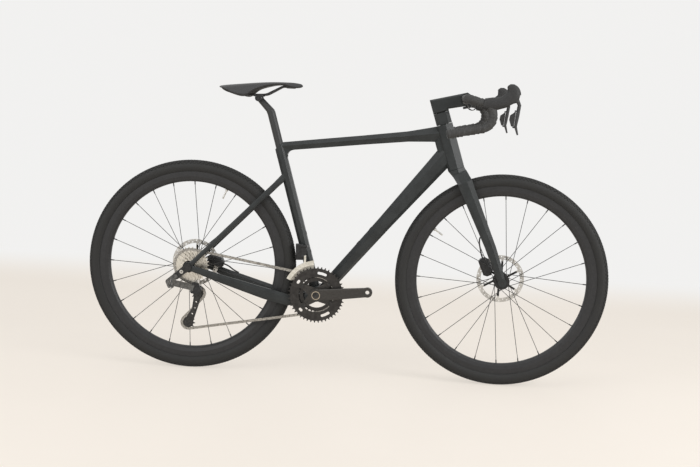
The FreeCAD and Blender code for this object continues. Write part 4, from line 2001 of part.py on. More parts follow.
def build():
    parts = {}
    parts["frame"] = frame_shape()
    parts["frame_bearings"] = frame_bearings()
    parts["bottle_bosses"] = Part.makeCompound(bottle_bosses())
    parts["seat_clamp_wedge"] = seat_clamp_wedge()
    parts["derailleur_hanger"] = derailleur_hanger()
    parts["rear_axle"] = through_axle(REAR, REAR_SPACING, DROPOUT_THICKNESS, HANGER_THICKNESS)
    parts["front_axle"] = through_axle(FRONT, FRONT_SPACING, FORK_DROPOUT_THICKNESS)

    front_right = -FRONT_SPACING / 2 + FRONT_HUB_INSET
    rear_right = COG_Y + COG_THICKNESS + REAR_HUB_GAP
    wheels = (("front", FRONT, FRONT_SPACING, FRONT_FLANGES, FRONT_ROTOR_Y, front_right, FRONT_VALVE_ANGLE),
              ("rear", REAR, REAR_SPACING, REAR_FLANGES, REAR_ROTOR_Y, rear_right, REAR_VALVE_ANGLE))
    for name, centre, spacing, flanges, rotor_y, right_end, valve_angle in wheels:
        parts[name + "_tyre"] = tyre(centre)
        parts[name + "_rim"] = rim(centre, valve_angle)
        parts[name + "_hub"] = hub(centre, spacing, flanges, rotor_y, right_end)
        parts[name + "_spokes"] = spokes(centre, flanges, parts[name + "_hub"], parts[name + "_rim"])
        parts[name + "_rotor"] = rotor(centre, rotor_y)

    front_centre, front_along = front_caliper_place()
    front_body = caliper_block(front_centre, front_along, FRONT_ROTOR_Y, FRONT_CALIPER_SIZE,
                               FRONT_CALIPER_SIZE[1] / 2)
    brakes = (("front", FRONT, front_body, front_centre, FRONT_ROTOR_Y),
              ("rear", REAR, rear_caliper_body(), rear_caliper_place()[0], REAR_ROTOR_Y))
    for name, wheel, body, centre, rotor_y in brakes:
        parts[name + "_caliper"] = caliper(wheel, body, rotor_y)
        parts[name + "_pad_left"] = pad(wheel, centre, rotor_y, 1)
        parts[name + "_pad_right"] = pad(wheel, centre, rotor_y, -1)
    parts["front_brake_hose"] = front_brake_hose()
    parts["rear_brake_hose"] = rear_brake_hose()

    parts["fork"] = fork().cut(parts["front_brake_hose"])
    parts["headset_cover"] = headset_cover()
    parts["stem"] = stem()
    parts["stem_faceplate"] = stem_faceplate()
    parts["stem_bolts"] = stem_bolts()
    parts["handlebar"] = handlebar()
    bar = parts["handlebar"]
    hoods = {}
    brackets = {}
    tapes = []
    for name, side in (("left", 1), ("right", -1)):
        brackets[name] = lever_bracket(side, bar)
        hoods[name] = lever_hood(side, bar)
        tapes += bar_tape(side, hood_loft(side, TAPE_HOOD_GAP))
        parts["brake_lever_" + name] = brake_lever(side)
        parts["shift_paddle_" + name] = shift_paddle(side)
    parts["lever_brackets"] = Part.makeCompound(list(brackets.values()))
    parts["lever_hoods"] = Part.makeCompound(list(hoods.values()))
    parts["bar_tape"] = Part.makeCompound(tapes)
    parts["shift_wiring"] = shift_wiring()

    rails = saddle_rails()
    parts["seatpost"] = seatpost()
    parts["saddle_rails"] = Part.makeCompound(rails)
    parts["saddle_clamp"] = saddle_clamp(rails)
    parts["saddle_cover"] = saddle_cover()
    parts["saddle_shell"] = saddle_shell(rails)

    parts["chain"] = chain()
    parts["cassette"] = cassette()
    parts["chainring_outer"] = chainring(OUTER_TEETH, OUTER_RING_Y, OUTER_RING_BAND, OUTER_BOLT_RADIUS,
                                         VALLEYS[0])
    parts["chainring_inner"] = chainring(INNER_TEETH, INNER_RING_Y, INNER_RING_BAND, INNER_BOLT_RADIUS,
                                         VALLEYS[0])
    parts["crank_arm_right"] = crank_arm_right()
    parts["crank_arm_left"] = crank_arm_left()
    parts["crank_bolts"] = crank_bolts()

    parts["rear_derailleur_body"] = rear_derailleur_body()
    parts["rear_derailleur_link"] = rear_derailleur_link()
    parts["rear_derailleur_knuckle"] = rear_derailleur_knuckle()
    parts["rear_derailleur_cage"] = rear_derailleur_cage()
    parts["guide_pulley"] = pulley(offset(REAR, *GUIDE_PULLEY), VALLEYS[2])
    parts["tension_pulley"] = pulley(tension_place(CAGE_ANGLE), VALLEYS[3])
    parts["front_derailleur_body"] = front_derailleur_body()
    parts["front_derailleur_link"] = front_derailleur_link()
    parts["front_derailleur_cage"] = front_derailleur_cage()
    return parts


def main():
    os.makedirs("parts", exist_ok=True)
    for name, shape in build().items():
        shape.exportStep("parts/" + name + ".step")


main()
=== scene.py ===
"""Looks of a gravel bike: finishes for its solid pieces, and the soft, wound and rubber pieces on them."""
import math

import bmesh
import bpy
import numpy as np
from mathutils import Matrix, Vector


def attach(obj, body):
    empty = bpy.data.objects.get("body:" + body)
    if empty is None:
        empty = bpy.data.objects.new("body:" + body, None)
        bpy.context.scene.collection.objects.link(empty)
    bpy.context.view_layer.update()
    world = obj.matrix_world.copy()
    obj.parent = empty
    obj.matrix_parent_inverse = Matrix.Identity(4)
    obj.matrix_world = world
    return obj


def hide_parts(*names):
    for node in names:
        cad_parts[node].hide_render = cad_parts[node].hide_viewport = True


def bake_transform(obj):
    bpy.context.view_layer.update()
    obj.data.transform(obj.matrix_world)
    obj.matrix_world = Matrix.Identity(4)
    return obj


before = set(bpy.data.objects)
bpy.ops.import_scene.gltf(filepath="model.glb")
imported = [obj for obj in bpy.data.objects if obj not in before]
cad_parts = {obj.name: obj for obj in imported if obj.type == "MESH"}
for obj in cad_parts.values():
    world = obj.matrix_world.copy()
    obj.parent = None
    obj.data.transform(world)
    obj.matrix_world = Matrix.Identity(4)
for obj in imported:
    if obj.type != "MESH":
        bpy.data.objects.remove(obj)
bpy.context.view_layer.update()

MM = 0.001

# Places and sizes repeated from the part, in metres
FRONT_AXLE = (0.523, 0.0, 0.355)
REAR_AXLE = (-0.523, 0.0, 0.355)
CRANK_AXLE = (-0.091296, 0.0, 0.281)
HANGER_BOLT = (-0.5425, 0.0, 0.3395)
SADDLE_BOLT = (-0.3133, 0.0, 0.926)
TYRE_CROWN = 0.3325
TYRE_SECTION = 0.0225
BAR_ROUTE = ((0.37161, 0.0, 0.95036), (0.37161, -0.211, 0.95036), (0.45149, -0.21325, 0.92896),
             (0.45149, -0.21988, 0.86587), (0.31417, -0.22295, 0.83668))
BAR_BENDS = (0.038, 0.040, 0.040)
BAR_RADIUS = 0.0119
TAPE_START = 0.070
TAPE_THICKNESS = 0.003
HOOD_BASE = (0.37161, -0.212, 0.95036)
LEVER_PIVOT = (0.52161, -0.212, 0.95536)
WIRE_RADIUS = 0.0013
WIRE_ROUTE = ((0.3937, -0.004, 0.92977), (0.40142, -0.0056, 0.93184), (0.40762, -0.0128, 0.92418),
              (0.39854, -0.024, 0.91554), (0.38637, -0.038, 0.91849), (0.37578, -0.064, 0.93081),
              (0.37678, -0.076, 0.93481))
HOSE_RADIUS = 0.0025
FRONT_HOSE_ROUTE = ((0.45961, 0.048, 0.42321), (0.45563, 0.048, 0.43238), (0.45348, 0.048, 0.44235),
                    (0.44422, 0.048, 0.47954), (0.44872, 0.0475, 0.49154))
REAR_HOSE_ROUTE = ((-0.42464, 0.058, 0.35296), (-0.41599, 0.058, 0.35047), (-0.4043, 0.058, 0.34407),
                   (-0.39326, 0.058, 0.33544), (-0.38325, 0.0565, 0.33048), (-0.37213, 0.0555, 0.32571))
JUNCTION_CENTRE = (0.37921, 0.0, 0.92589)
JUNCTION_SIZE = (0.030, 0.016, 0.008)
CLAMP_TILT = math.radians(15)

# Hood stations from the hood's base, in millimetres: fore, up, tilt in degrees, height, width
HOOD_STATIONS = ((50, -14, -10, 35, 33), (75, -14, 0, 42, 34), (102, -9, 12, 37, 33), (125, 2, 35, 42, 32),
                 (139, 14, 62, 46, 31), (140, 31, 80, 42, 29), (135, 45, 90, 28, 22), (134, 50, 90, 12, 10))

# Saddle stations from the saddle's bolt, in millimetres: fore, half width, top, edge, thickness
SADDLE_STATIONS = ((-131.5, 44, 35.5, 33, 4), (-116.5, 62, 38.2, 30.5, 7), (-86.5, 72, 42.2, 19, 9.5),
                   (-56.5, 73, 45.5, 11, 10), (-36.5, 68, 47.7, 11.5, 10), (-13.5, 56, 50.2, 28.5, 10),
                   (14.5, 42, 52.7, 40.5, 9), (47.5, 31, 54.9, 48, 8), (83.5, 24, 55.7, 49.5, 7),
                   (118.5, 20, 55, 42, 8), (144, 14, 51.5, 44, 6))


# Mesh helpers

MERGE_DISTANCE = 1e-7


def turns(columns):
    """Angles of a full turn in equal steps."""
    return np.linspace(0, 2 * np.pi, columns, endpoint=False)


def drawn(value, power):
    """Sine or cosine drawn towards a square's sides by a power below one, its sign kept."""
    return np.sign(value) * np.abs(value) ** power


def grid_faces(rows, columns):
    """Quads of a grid whose last column joins its first."""
    i, j = np.meshgrid(np.arange(rows - 1), np.arange(columns), indexing="ij")
    k = (j + 1) % columns
    here = i * columns
    above = here + columns
    return np.stack([here + j, here + k, above + k, above + j], axis=-1).reshape(-1, 4)


def make_object(name, points, faces, smooth=True):
    """Mesh object from arrays, its doubles merged and its faces turned outwards."""
    mesh = bpy.data.meshes.new(name)
    mesh.from_pydata(np.asarray(points).tolist(), [], [list(face) for face in faces])
    work = bmesh.new()
    work.from_mesh(mesh)
    bmesh.ops.remove_doubles(work, verts=work.verts, dist=MERGE_DISTANCE)
    bmesh.ops.recalc_face_normals(work, faces=work.faces)
    work.to_mesh(mesh)
    work.free()
    mesh.polygons.foreach_set("use_smooth", [smooth] * len(mesh.polygons))
    made = bpy.data.objects.new(name, mesh)
    bpy.context.scene.collection.objects.link(made)
    return made


def ring_solid(name, groups):
    """Closed shells, each from rings of points (rows, columns, 3), with a fan on each end."""
    points = []
    faces = []
    start = 0
    for rings in groups:
        rows, columns = rings.shape[:2]
        quads = grid_faces(rows, columns) + start
        ends = np.stack([rings[0].mean(axis=0), rings[-1].mean(axis=0)])
        points.append(np.concatenate([rings.reshape(-1, 3), ends]))
        turn = np.arange(columns)
        ahead = (turn + 1) % columns
        pole = start + rows * columns
        last = start + (rows - 1) * columns
        fans = np.concatenate([np.stack([ahead + start, turn + start, np.full(columns, pole)], axis=-1),
                               np.stack([turn + last, ahead + last, np.full(columns, pole + 1)], axis=-1)])
        faces += quads.tolist() + fans.tolist()
        start = pole + 2
    return make_object(name, np.concatenate(points), faces)


def rings_about(line, radii, first, second, turn):
    """Rings about a line's points: radius times the cosine and sine of a turn along two axes across it."""
    around = first * np.cos(turn)[None, :, None] + second * np.sin(turn)[None, :, None]
    return line[:, None, :] + radii[..., None] * around


def curve_through(knots, table, at):
    """Rows of a table at new places: cubics whose slopes at the knots are the table's own differences."""
    knots = np.asarray(knots, float)
    table = np.asarray(table, float)
    slopes = np.gradient(table, knots, axis=0)
    low = np.clip(np.searchsorted(knots, at, side="right") - 1, 0, len(knots) - 2)
    span = (knots[low + 1] - knots[low])[:, None]
    t = ((at - knots[low])[:, None]) / span
    first = (2 * t ** 3 - 3 * t ** 2 + 1) * table[low] + (t ** 3 - 2 * t ** 2 + t) * span * slopes[low]
    second = (3 * t ** 2 - 2 * t ** 3) * table[low + 1] + (t ** 3 - t ** 2) * span * slopes[low + 1]
    return first + second


def mirrored(rings):
    """The same rings on the other side of the bike."""
    return rings * np.array([1.0, -1.0, 1.0])


def unit(way):
    """Way of length one."""
    return way / np.linalg.norm(way)


def dress(piece, material, nodes=()):
    """Gives a piece its finish and the nodes that it stands for."""
    piece.data.materials.clear()
    piece.data.materials.append(material)
    if nodes:
        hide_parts(*nodes)


def settle(piece, body, material, nodes=()):
    """Dresses a piece and lets it ride on a body."""
    dress(piece, material, nodes)
    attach(piece, body)


# Material helpers

CLOUD_DETAIL = 6.0
CLOUD_ROUGHNESS = 0.6
CLOUD_LOW, CLOUD_HIGH = 0.3, 0.7
GRAIN_DETAIL = 2.0
FINE_GRAIN_SCALE = 900.0
CELL_GRAIN_DETAIL = 3.0
CELL_GRAIN_SHARE = 0.35
RIB_SLANT = 0.7
RIB_HEIGHT = 0.5
RIB_GRAIN_SCALE = 1500.0


def fill(tree, socket, value):
    """Sets a socket to a number or links it to another socket."""
    if isinstance(value, bpy.types.NodeSocket):
        tree.links.new(value, socket)
    else:
        socket.default_value = value


def node(tree, kind, **inputs):
    """New node with its inputs set to numbers or linked to sockets; an underscore stands for a space."""
    new = tree.nodes.new("ShaderNode" + kind)
    for label, value in inputs.items():
        fill(tree, new.inputs[label.replace("_", " ")], value)
    return new


def operate(tree, kind, operation, values):
    """Node that works on numbers, vectors or sockets in their order."""
    new = tree.nodes.new("ShaderNode" + kind)
    new.operation = operation
    for socket, value in zip(new.inputs, values):
        fill(tree, socket, value)
    return new


def maths(tree, operation, *values):
    """Result of a calculation on numbers or sockets."""
    return operate(tree, "Math", operation, values).outputs[0]


def noise(tree, coords, scale, detail):
    """Noise from zero to one."""
    return node(tree, "TexNoise", Vector=coords, Scale=scale, Detail=detail).outputs["Fac"]


def ramp(tree, factor, dark, light, low=0.35, high=0.65):
    """Colour between two tones over a stretch of the factor."""
    new = node(tree, "ValToRGB", Fac=factor)
    stops = new.color_ramp.elements
    stops[0].position = low
    stops[0].color = (*dark, 1)
    stops[1].position = high
    stops[1].color = (*light, 1)
    return new.outputs["Color"]


def blend_colours(tree, factor, first, second):
    """First colour where the factor is zero and second where it is one, by the node's colour sockets."""
    new = tree.nodes.new("ShaderNodeMix")
    new.data_type = "RGBA"
    tree.links.new(factor, new.inputs["Factor"])
    tree.links.new(first, new.inputs[6])
    tree.links.new(second, new.inputs[7])
    return new.outputs[2]


def axle_distance(tree, coords, axle):
    """Distance of a point from an axle that runs across the bike."""
    away = operate(tree, "VectorMath", "SUBTRACT", (coords, axle)).outputs[0]
    flat = operate(tree, "VectorMath", "MULTIPLY", (away, (1, 0, 1))).outputs[0]
    return operate(tree, "VectorMath", "LENGTH", (flat,)).outputs["Value"]


def finish(name, dark, light, rough, metallic=0.0, scale=40.0, stretch=(1, 1, 1), relief=None, depth=0.00005,
           strength=0.3, specular=0.5, mask=None, other=None):
    """Finish with cloudy colour and roughness and a fine relief; a mask may give part of it another finish.

    The mask is a function of the tree and the coordinates; other is (dark, light, rough, metallic)."""
    material = bpy.data.materials.new(name)
    material.use_nodes = True
    tree = material.node_tree
    shader = tree.nodes["Principled BSDF"]
    coords = tree.nodes.new("ShaderNodeTexCoord").outputs["Object"]
    stretched = node(tree, "Mapping", Vector=coords, Scale=stretch).outputs[0]
    cloud = node(tree, "TexNoise", Vector=stretched, Scale=scale, Detail=CLOUD_DETAIL,
                 Roughness=CLOUD_ROUGHNESS).outputs["Fac"]
    colour = ramp(tree, cloud, dark, light)
    dull = node(tree, "MapRange", Value=cloud, From_Min=CLOUD_LOW, From_Max=CLOUD_HIGH, To_Min=rough[0],
                To_Max=rough[1]).outputs[0]
    if mask is None:
        shader.inputs["Metallic"].default_value = metallic
    else:
        inside = mask(tree, coords)
        colour = blend_colours(tree, inside, colour, ramp(tree, cloud, other[0], other[1]))
        gap = maths(tree, "SUBTRACT", other[2], dull)
        dull = maths(tree, "ADD", dull, maths(tree, "MULTIPLY", gap, inside))
        metal = node(tree, "MapRange", Value=inside, To_Min=metallic, To_Max=other[3]).outputs[0]
        tree.links.new(metal, shader.inputs["Metallic"])
    tree.links.new(colour, shader.inputs["Base Color"])
    tree.links.new(dull, shader.inputs["Roughness"])
    height = relief(tree, coords) if relief else noise(tree, stretched, FINE_GRAIN_SCALE, GRAIN_DETAIL)
    bump = node(tree, "Bump", Height=height, Strength=strength, Distance=depth)
    tree.links.new(bump.outputs[0], shader.inputs["Normal"])
    shader.inputs["Specular IOR Level"].default_value = specular
    return material


def cells(scale, detail_scale):
    """Relief of rounded cells with finer grain on them."""
    def relief(tree, coords):
        cell = node(tree, "TexVoronoi", Vector=coords, Scale=scale).outputs["Distance"]
        grain = noise(tree, coords, detail_scale, CELL_GRAIN_DETAIL)
        grain = maths(tree, "MULTIPLY", grain, CELL_GRAIN_SHARE)
        return maths(tree, "ADD", maths(tree, "MULTIPLY", cell, -1.0), grain)
    return relief


def rings_round(axle, pitch):
    """Relief of fine turned rings round an axle: a sine of the distance from it."""
    def relief(tree, coords):
        reach = axle_distance(tree, coords, axle)
        return maths(tree, "SINE", maths(tree, "MULTIPLY", reach, 2 * math.pi / pitch))
    return relief


def ribs(pitch):
    """Relief of slanted grip ribs on a rubber side."""
    def relief(tree, coords):
        parts = node(tree, "SeparateXYZ", Vector=coords).outputs
        slant = maths(tree, "ADD", parts["X"], maths(tree, "MULTIPLY", parts["Z"], RIB_SLANT))
        wave = maths(tree, "SINE", maths(tree, "MULTIPLY", slant, 2 * math.pi / pitch))
        grain = noise(tree, coords, RIB_GRAIN_SCALE, GRAIN_DETAIL)
        return maths(tree, "ADD", maths(tree, "MULTIPLY", wave, RIB_HEIGHT), grain)
    return relief


def nearer(axle, distance):
    """Mask of what lies nearer to an axle than a distance."""
    def mask(tree, coords):
        return maths(tree, "LESS_THAN", axle_distance(tree, coords, axle), distance)
    return mask


def collar(axle, low, high, outside_y):
    """Mask of a ring round an axle, on the right of a plane only."""
    def mask(tree, coords):
        reach = axle_distance(tree, coords, axle)
        outside = maths(tree, "GREATER_THAN", reach, low)
        band = maths(tree, "MULTIPLY", outside, maths(tree, "LESS_THAN", reach, high))
        y = node(tree, "SeparateXYZ", Vector=coords).outputs["Y"]
        return maths(tree, "MULTIPLY", band, maths(tree, "LESS_THAN", y, outside_y))
    return mask


# Finishes

VALVE_REACH = 0.2815
VALVE_METAL = ((0.45, 0.44, 0.41), (0.62, 0.61, 0.58), 0.3, 1.0)
CARRIER_REACH = 0.060
CARRIER_BLACK = ((0.012, 0.012, 0.012), (0.025, 0.025, 0.025), 0.4, 0.4)
LOCKRING_REACH = 0.020
LOCKRING_BLACK = ((0.03, 0.03, 0.03), (0.05, 0.05, 0.05), 0.35, 0.8)
CAP_RING_LOW, CAP_RING_HIGH, CAP_RING_FACE = 0.0118, 0.0142, -0.069
CAP_RING_BRONZE = ((0.40, 0.34, 0.26), (0.54, 0.47, 0.37), 0.35, 1.0)
BOLT_HEAD_LOW, BOLT_HEAD_HIGH, BOLT_HEAD_FACE = 0.0022, 0.0062, 1.0
BOLT_HEAD_METAL = ((0.50, 0.49, 0.46), (0.68, 0.67, 0.63), 0.28, 1.0)
TURNED_DEPTH = 0.00004


def rim_finish(name, axle):
    """Black composite, with a bright valve where it stands inside the rim."""
    return finish(name, (0.010, 0.010, 0.011), (0.016, 0.016, 0.017), (0.40, 0.50), scale=90,
                  mask=nearer(axle, VALVE_REACH), other=VALVE_METAL)


def rotor_finish(name, axle):
    """Turned steel brake track on a black carrier."""
    return finish(name, (0.46, 0.45, 0.43), (0.66, 0.65, 0.62), (0.22, 0.34), metallic=1.0, scale=90,
                  relief=rings_round(axle, 0.0007), depth=TURNED_DEPTH,
                  mask=nearer(axle, CARRIER_REACH), other=CARRIER_BLACK)


charcoal = finish("charcoal_paint", (0.021, 0.0235, 0.024), (0.031, 0.0345, 0.035), (0.34, 0.42), scale=25,
                  depth=0.00003, strength=0.15, specular=0.3)
post_black = finish("post_composite", (0.018, 0.019, 0.019), (0.027, 0.028, 0.028), (0.42, 0.52),
                    stretch=(6, 6, 0.6), scale=60)
tread_black = finish("tread_rubber", (0.008, 0.008, 0.008), (0.016, 0.016, 0.015), (0.62, 0.78), scale=55,
                     relief=cells(260, 1400), depth=0.0004, strength=0.35)
front_rim_black = rim_finish("front_rim_composite", FRONT_AXLE)
rear_rim_black = rim_finish("rear_rim_composite", REAR_AXLE)
spoke_black = finish("spoke_steel", (0.035, 0.035, 0.036), (0.06, 0.06, 0.06), (0.30, 0.42), metallic=0.8,
                     scale=200)
black_alloy = finish("black_anodised", (0.014, 0.014, 0.015), (0.028, 0.028, 0.029), (0.30, 0.42),
                     metallic=0.3, scale=120)
black_plastic = finish("black_moulding", (0.014, 0.014, 0.014), (0.024, 0.024, 0.024), (0.40, 0.55),
                       scale=150, relief=cells(900, 2600), depth=0.0001)
chain_steel = finish("chain_plate", (0.16, 0.15, 0.14), (0.50, 0.48, 0.44), (0.26, 0.44), metallic=1.0,
                     scale=240)
cassette_steel = finish("sprocket_steel", (0.57, 0.535, 0.475), (0.77, 0.735, 0.66), (0.25, 0.36),
                        metallic=1.0, scale=60, relief=rings_round(REAR_AXLE, 0.0009), depth=TURNED_DEPTH,
                        mask=nearer(REAR_AXLE, LOCKRING_REACH), other=LOCKRING_BLACK)
dark_steel = finish("blackened_steel", (0.035, 0.035, 0.035), (0.07, 0.068, 0.066), (0.28, 0.42),
                    metallic=0.9, scale=160)
front_rotor_steel = rotor_finish("front_rotor", FRONT_AXLE)
rear_rotor_steel = rotor_finish("rear_rotor", REAR_AXLE)
crank_grey = finish("crank_anodised", (0.040, 0.037, 0.034), (0.064, 0.060, 0.055), (0.30, 0.42),
                    metallic=0.55, stretch=(1, 1, 8), scale=80,
                    mask=collar(CRANK_AXLE, CAP_RING_LOW, CAP_RING_HIGH, CAP_RING_FACE),
                    other=CAP_RING_BRONZE)
ring_grey = finish("chainring_anodised", (0.028, 0.026, 0.025), (0.05, 0.047, 0.044), (0.28, 0.40),
                   metallic=0.6, scale=90, relief=rings_round(CRANK_AXLE, 0.0008), depth=TURNED_DEPTH)
lever_grey = finish("lever_anodised", (0.045, 0.045, 0.046), (0.085, 0.085, 0.086), (0.26, 0.38),
                    metallic=0.6, stretch=(2, 2, 14), scale=90)
cage_silver = finish("guide_cage", (0.60, 0.575, 0.50), (0.76, 0.73, 0.65), (0.30, 0.42), metallic=0.35,
                     scale=110)
hanger_black = finish("hanger_anodised", (0.020, 0.020, 0.020), (0.036, 0.036, 0.036), (0.30, 0.42),
                      metallic=0.5, scale=160,
                      mask=collar(HANGER_BOLT, BOLT_HEAD_LOW, BOLT_HEAD_HIGH, BOLT_HEAD_FACE),
                      other=BOLT_HEAD_METAL)
derailleur_grey = finish("derailleur_grey", (0.075, 0.075, 0.075), (0.17, 0.17, 0.165), (0.24, 0.36),
                         metallic=0.75, scale=130)
hood_rubber = finish("hood_rubber", (0.012, 0.012, 0.012), (0.022, 0.022, 0.022), (0.55, 0.70), scale=90,
                     relief=ribs(0.0034), depth=0.0003, strength=0.4)
tape_black = finish("wound_tape", (0.024, 0.024, 0.023), (0.046, 0.045, 0.044), (0.55, 0.72), scale=130,
                    relief=cells(420, 2200), depth=0.0006, strength=0.6)
leather = finish("saddle_leather", (0.011, 0.011, 0.012), (0.021, 0.021, 0.022), (0.36, 0.48), scale=70,
                 relief=cells(1100, 3000), depth=0.0002, strength=0.25)
hose_black = finish("hose_sheath", (0.012, 0.012, 0.012), (0.022, 0.022, 0.022), (0.38, 0.5), scale=300)

NODES_IN_FINISH = (
    (charcoal, "frame", "fork", "stem", "stem_faceplate", "headset_cover"),
    (post_black, "seatpost"),
    (tread_black, "front_tyre", "rear_tyre"),
    (front_rim_black, "front_rim"),
    (rear_rim_black, "rear_rim"),
    (spoke_black, "front_spokes", "rear_spokes"),
    (front_rotor_steel, "front_rotor"),
    (rear_rotor_steel, "rear_rotor"),
    (cassette_steel, "cassette"),
    (crank_grey, "crank_arm_right", "crank_arm_left"),
    (ring_grey, "chainring_outer", "chainring_inner"),
    (hanger_black, "derailleur_hanger"),
    (cage_silver, "front_derailleur_cage"),
    (derailleur_grey, "rear_derailleur_body", "rear_derailleur_link"),
    (lever_grey, "brake_lever_left", "brake_lever_right"),
    (dark_steel, "crank_bolts", "bottle_bosses", "rear_derailleur_cage", "stem_bolts", "front_pad_left",
     "front_pad_right", "rear_pad_left", "rear_pad_right"),
    (black_plastic, "guide_pulley", "tension_pulley", "shift_paddle_left", "shift_paddle_right",
     "lever_brackets", "saddle_shell"),
    (black_alloy, "handlebar", "front_hub", "rear_hub", "front_axle", "rear_axle", "frame_bearings",
     "seat_clamp_wedge", "rear_caliper", "front_caliper", "front_derailleur_body", "front_derailleur_link",
     "rear_derailleur_knuckle", "saddle_rails", "saddle_clamp"),
)
for material, *names in NODES_IN_FINISH:
    for name in names:
        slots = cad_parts[name].data.materials
        slots.clear()
        slots.append(material)


# Camera: place in metres, turn in degrees, focal length and picture width in pixels, film in millimetres

CAMERA_PLACE = (0.22976, -3.65735, 0.88758)
CAMERA_TURN = (6.16, 3.58, 2.73)
CAMERA_FOCAL = 1094.7
PICTURE_WIDTH = 700
FILM_WIDTH = 36.0


def place_camera():
    """Camera at the photograph's place: turned from a level side view by one small rotation."""
    turn = np.radians(CAMERA_TURN)
    angle = np.linalg.norm(turn)
    turned = Matrix.Rotation(angle, 3, Vector(turn / angle))
    level = Matrix(((1, 0, 0), (0, 0, -1), (0, 1, 0)))
    rows = turned @ level
    data = bpy.data.cameras.new("camera")
    data.sensor_width = FILM_WIDTH
    data.lens = CAMERA_FOCAL / PICTURE_WIDTH * FILM_WIDTH
    camera = bpy.data.objects.new("camera", data)
    bpy.context.scene.collection.objects.link(camera)
    columns = Matrix((rows[0], -rows[1], -rows[2])).transposed()
    camera.matrix_world = Matrix.Translation(CAMERA_PLACE) @ columns.to_4x4()
    bpy.context.scene.camera = camera


place_camera()


# Cords and their junction box

CORD_ROUNDNESS = 4
CORD_STEPS = 10
JUNCTION_SQUARENESS = 0.28
JUNCTION_ROWS = 25
JUNCTION_COLUMNS = 48


def cord_piece(name, route, radius, body, nodes):
    """Cord on one smooth spline whose control points are the route."""
    data = bpy.data.curves.new(name, "CURVE")
    data.dimensions = "3D"
    data.bevel_depth = radius
    data.bevel_resolution = CORD_ROUNDNESS
    data.resolution_u = CORD_STEPS
    data.use_fill_caps = True
    spline = data.splines.new("NURBS")
    spline.points.add(len(route) - 1)
    spline.points.foreach_set("co", np.column_stack([np.array(route), np.ones(len(route))]).ravel())
    spline.order_u = 3
    spline.use_endpoint_u = True
    made = bpy.data.objects.new(name, data)
    bpy.context.scene.collection.objects.link(made)
    settle(made, body, hose_black, nodes)


def rounded_box(name, centre, size, tilt):
    """Box with rounded edges: a superellipsoid, its sines and cosines drawn towards the box's faces."""
    rise = np.linspace(-np.pi / 2, np.pi / 2, JUNCTION_ROWS)[:, None]
    turn = turns(JUNCTION_COLUMNS)[None, :]
    level = drawn(np.cos(rise), JUNCTION_SQUARENESS)
    along = level * drawn(np.cos(turn), JUNCTION_SQUARENESS) * size[0] / 2
    across = level * drawn(np.sin(turn), JUNCTION_SQUARENESS) * size[1] / 2
    up = drawn(np.sin(rise), JUNCTION_SQUARENESS) * np.ones_like(turn) * size[2] / 2
    x = centre[0] + along * math.cos(tilt) - up * math.sin(tilt)
    z = centre[2] + along * math.sin(tilt) + up * math.cos(tilt)
    return ring_solid(name, [np.stack([x, centre[1] + across, z], axis=-1)])


junction = rounded_box("junction_box", JUNCTION_CENTRE, JUNCTION_SIZE, CLAMP_TILT)
settle(junction, "steering", black_plastic, ["shift_wiring"])
wire_left_route = [(x, -y, z) for x, y, z in WIRE_ROUTE]
cord_piece("wire_right", WIRE_ROUTE, WIRE_RADIUS, "steering", ["shift_wiring"])
cord_piece("wire_left", wire_left_route, WIRE_RADIUS, "steering", ["shift_wiring"])
cord_piece("front_hose", FRONT_HOSE_ROUTE, HOSE_RADIUS, "steering", ["front_brake_hose"])
cord_piece("rear_hose", REAR_HOSE_ROUTE, HOSE_RADIUS, "frame", ["rear_brake_hose"])


# Handlebar tape and plugs, in metres; the tape's drifts are a share of a wrap, a sine's rate and its lead

BAR_STEP = 0.001
TAPE_WRAPS = 24
TAPE_ROWS_IN_WRAP = 22
TAPE_COLUMNS = 44
TAPE_STEP = 0.0019
TAPE_FALL = 0.88
TAPE_DRIFT = ((0.16, 1.7, 0.0), (0.09, 4.3, 1.0))
TAPE_SWELL = 0.0003
TAPE_SWELL_RATE = 2.9
PLUG_NECK = 0.0090
PLUG_RADIUS = 0.0142
PLUG_GAP = 0.0002
PLUG_EDGE = 0.0008
PLUG_DOME = 0.0030
PLUG_ROUNDING = 0.6
PLUG_ROWS = 10
PLUG_COLUMNS = 40


def straight_run(start, end, count, to_end):
    """Points in equal steps from start towards end."""
    return start + (end - start) * np.linspace(0, 1, count, endpoint=to_end)[:, None]


def bar_line(step):
    """Points and lengths along the bar: straight runs joined by tangent arcs."""
    points = [np.array(p) for p in BAR_ROUTE]
    pieces = []
    start = points[0]
    for before, corner, after, radius in zip(points, points[1:], points[2:], BAR_BENDS):
        back = unit(before - corner)
        ahead = unit(after - corner)
        half_turn = np.arccos(np.clip(back @ ahead, -1, 1)) / 2
        reach = radius / np.tan(half_turn)
        centre = corner + unit(back + ahead) * (radius / np.sin(half_turn))
        arc_start = corner + back * reach
        sweep = np.pi - 2 * half_turn
        count = max(2, int(np.linalg.norm(arc_start - start) / step))
        pieces.append(straight_run(start, arc_start, count, False))
        angle = np.linspace(0, sweep, max(3, int(sweep * radius / step)), endpoint=False)[:, None]
        pieces.append(centre + (arc_start - centre) * np.cos(angle) - radius * back * np.sin(angle))
        start = corner + ahead * reach
    count = int(np.linalg.norm(points[-1] - start) / step)
    pieces.append(straight_run(start, points[-1], count, True))
    line = np.concatenate(pieces)
    lengths = np.concatenate([[0], np.cumsum(np.linalg.norm(np.diff(line, axis=0), axis=1))])
    return line, lengths


def carried_axes(ways):
    """Two axes across a line, carried along it with no twist of their own."""
    axis = np.array([0.0, 0.0, 1.0])
    firsts = []
    for way in ways:
        axis = unit(axis - way * (axis @ way))
        firsts.append(axis)
    firsts = np.array(firsts)
    return firsts, np.cross(ways, firsts)


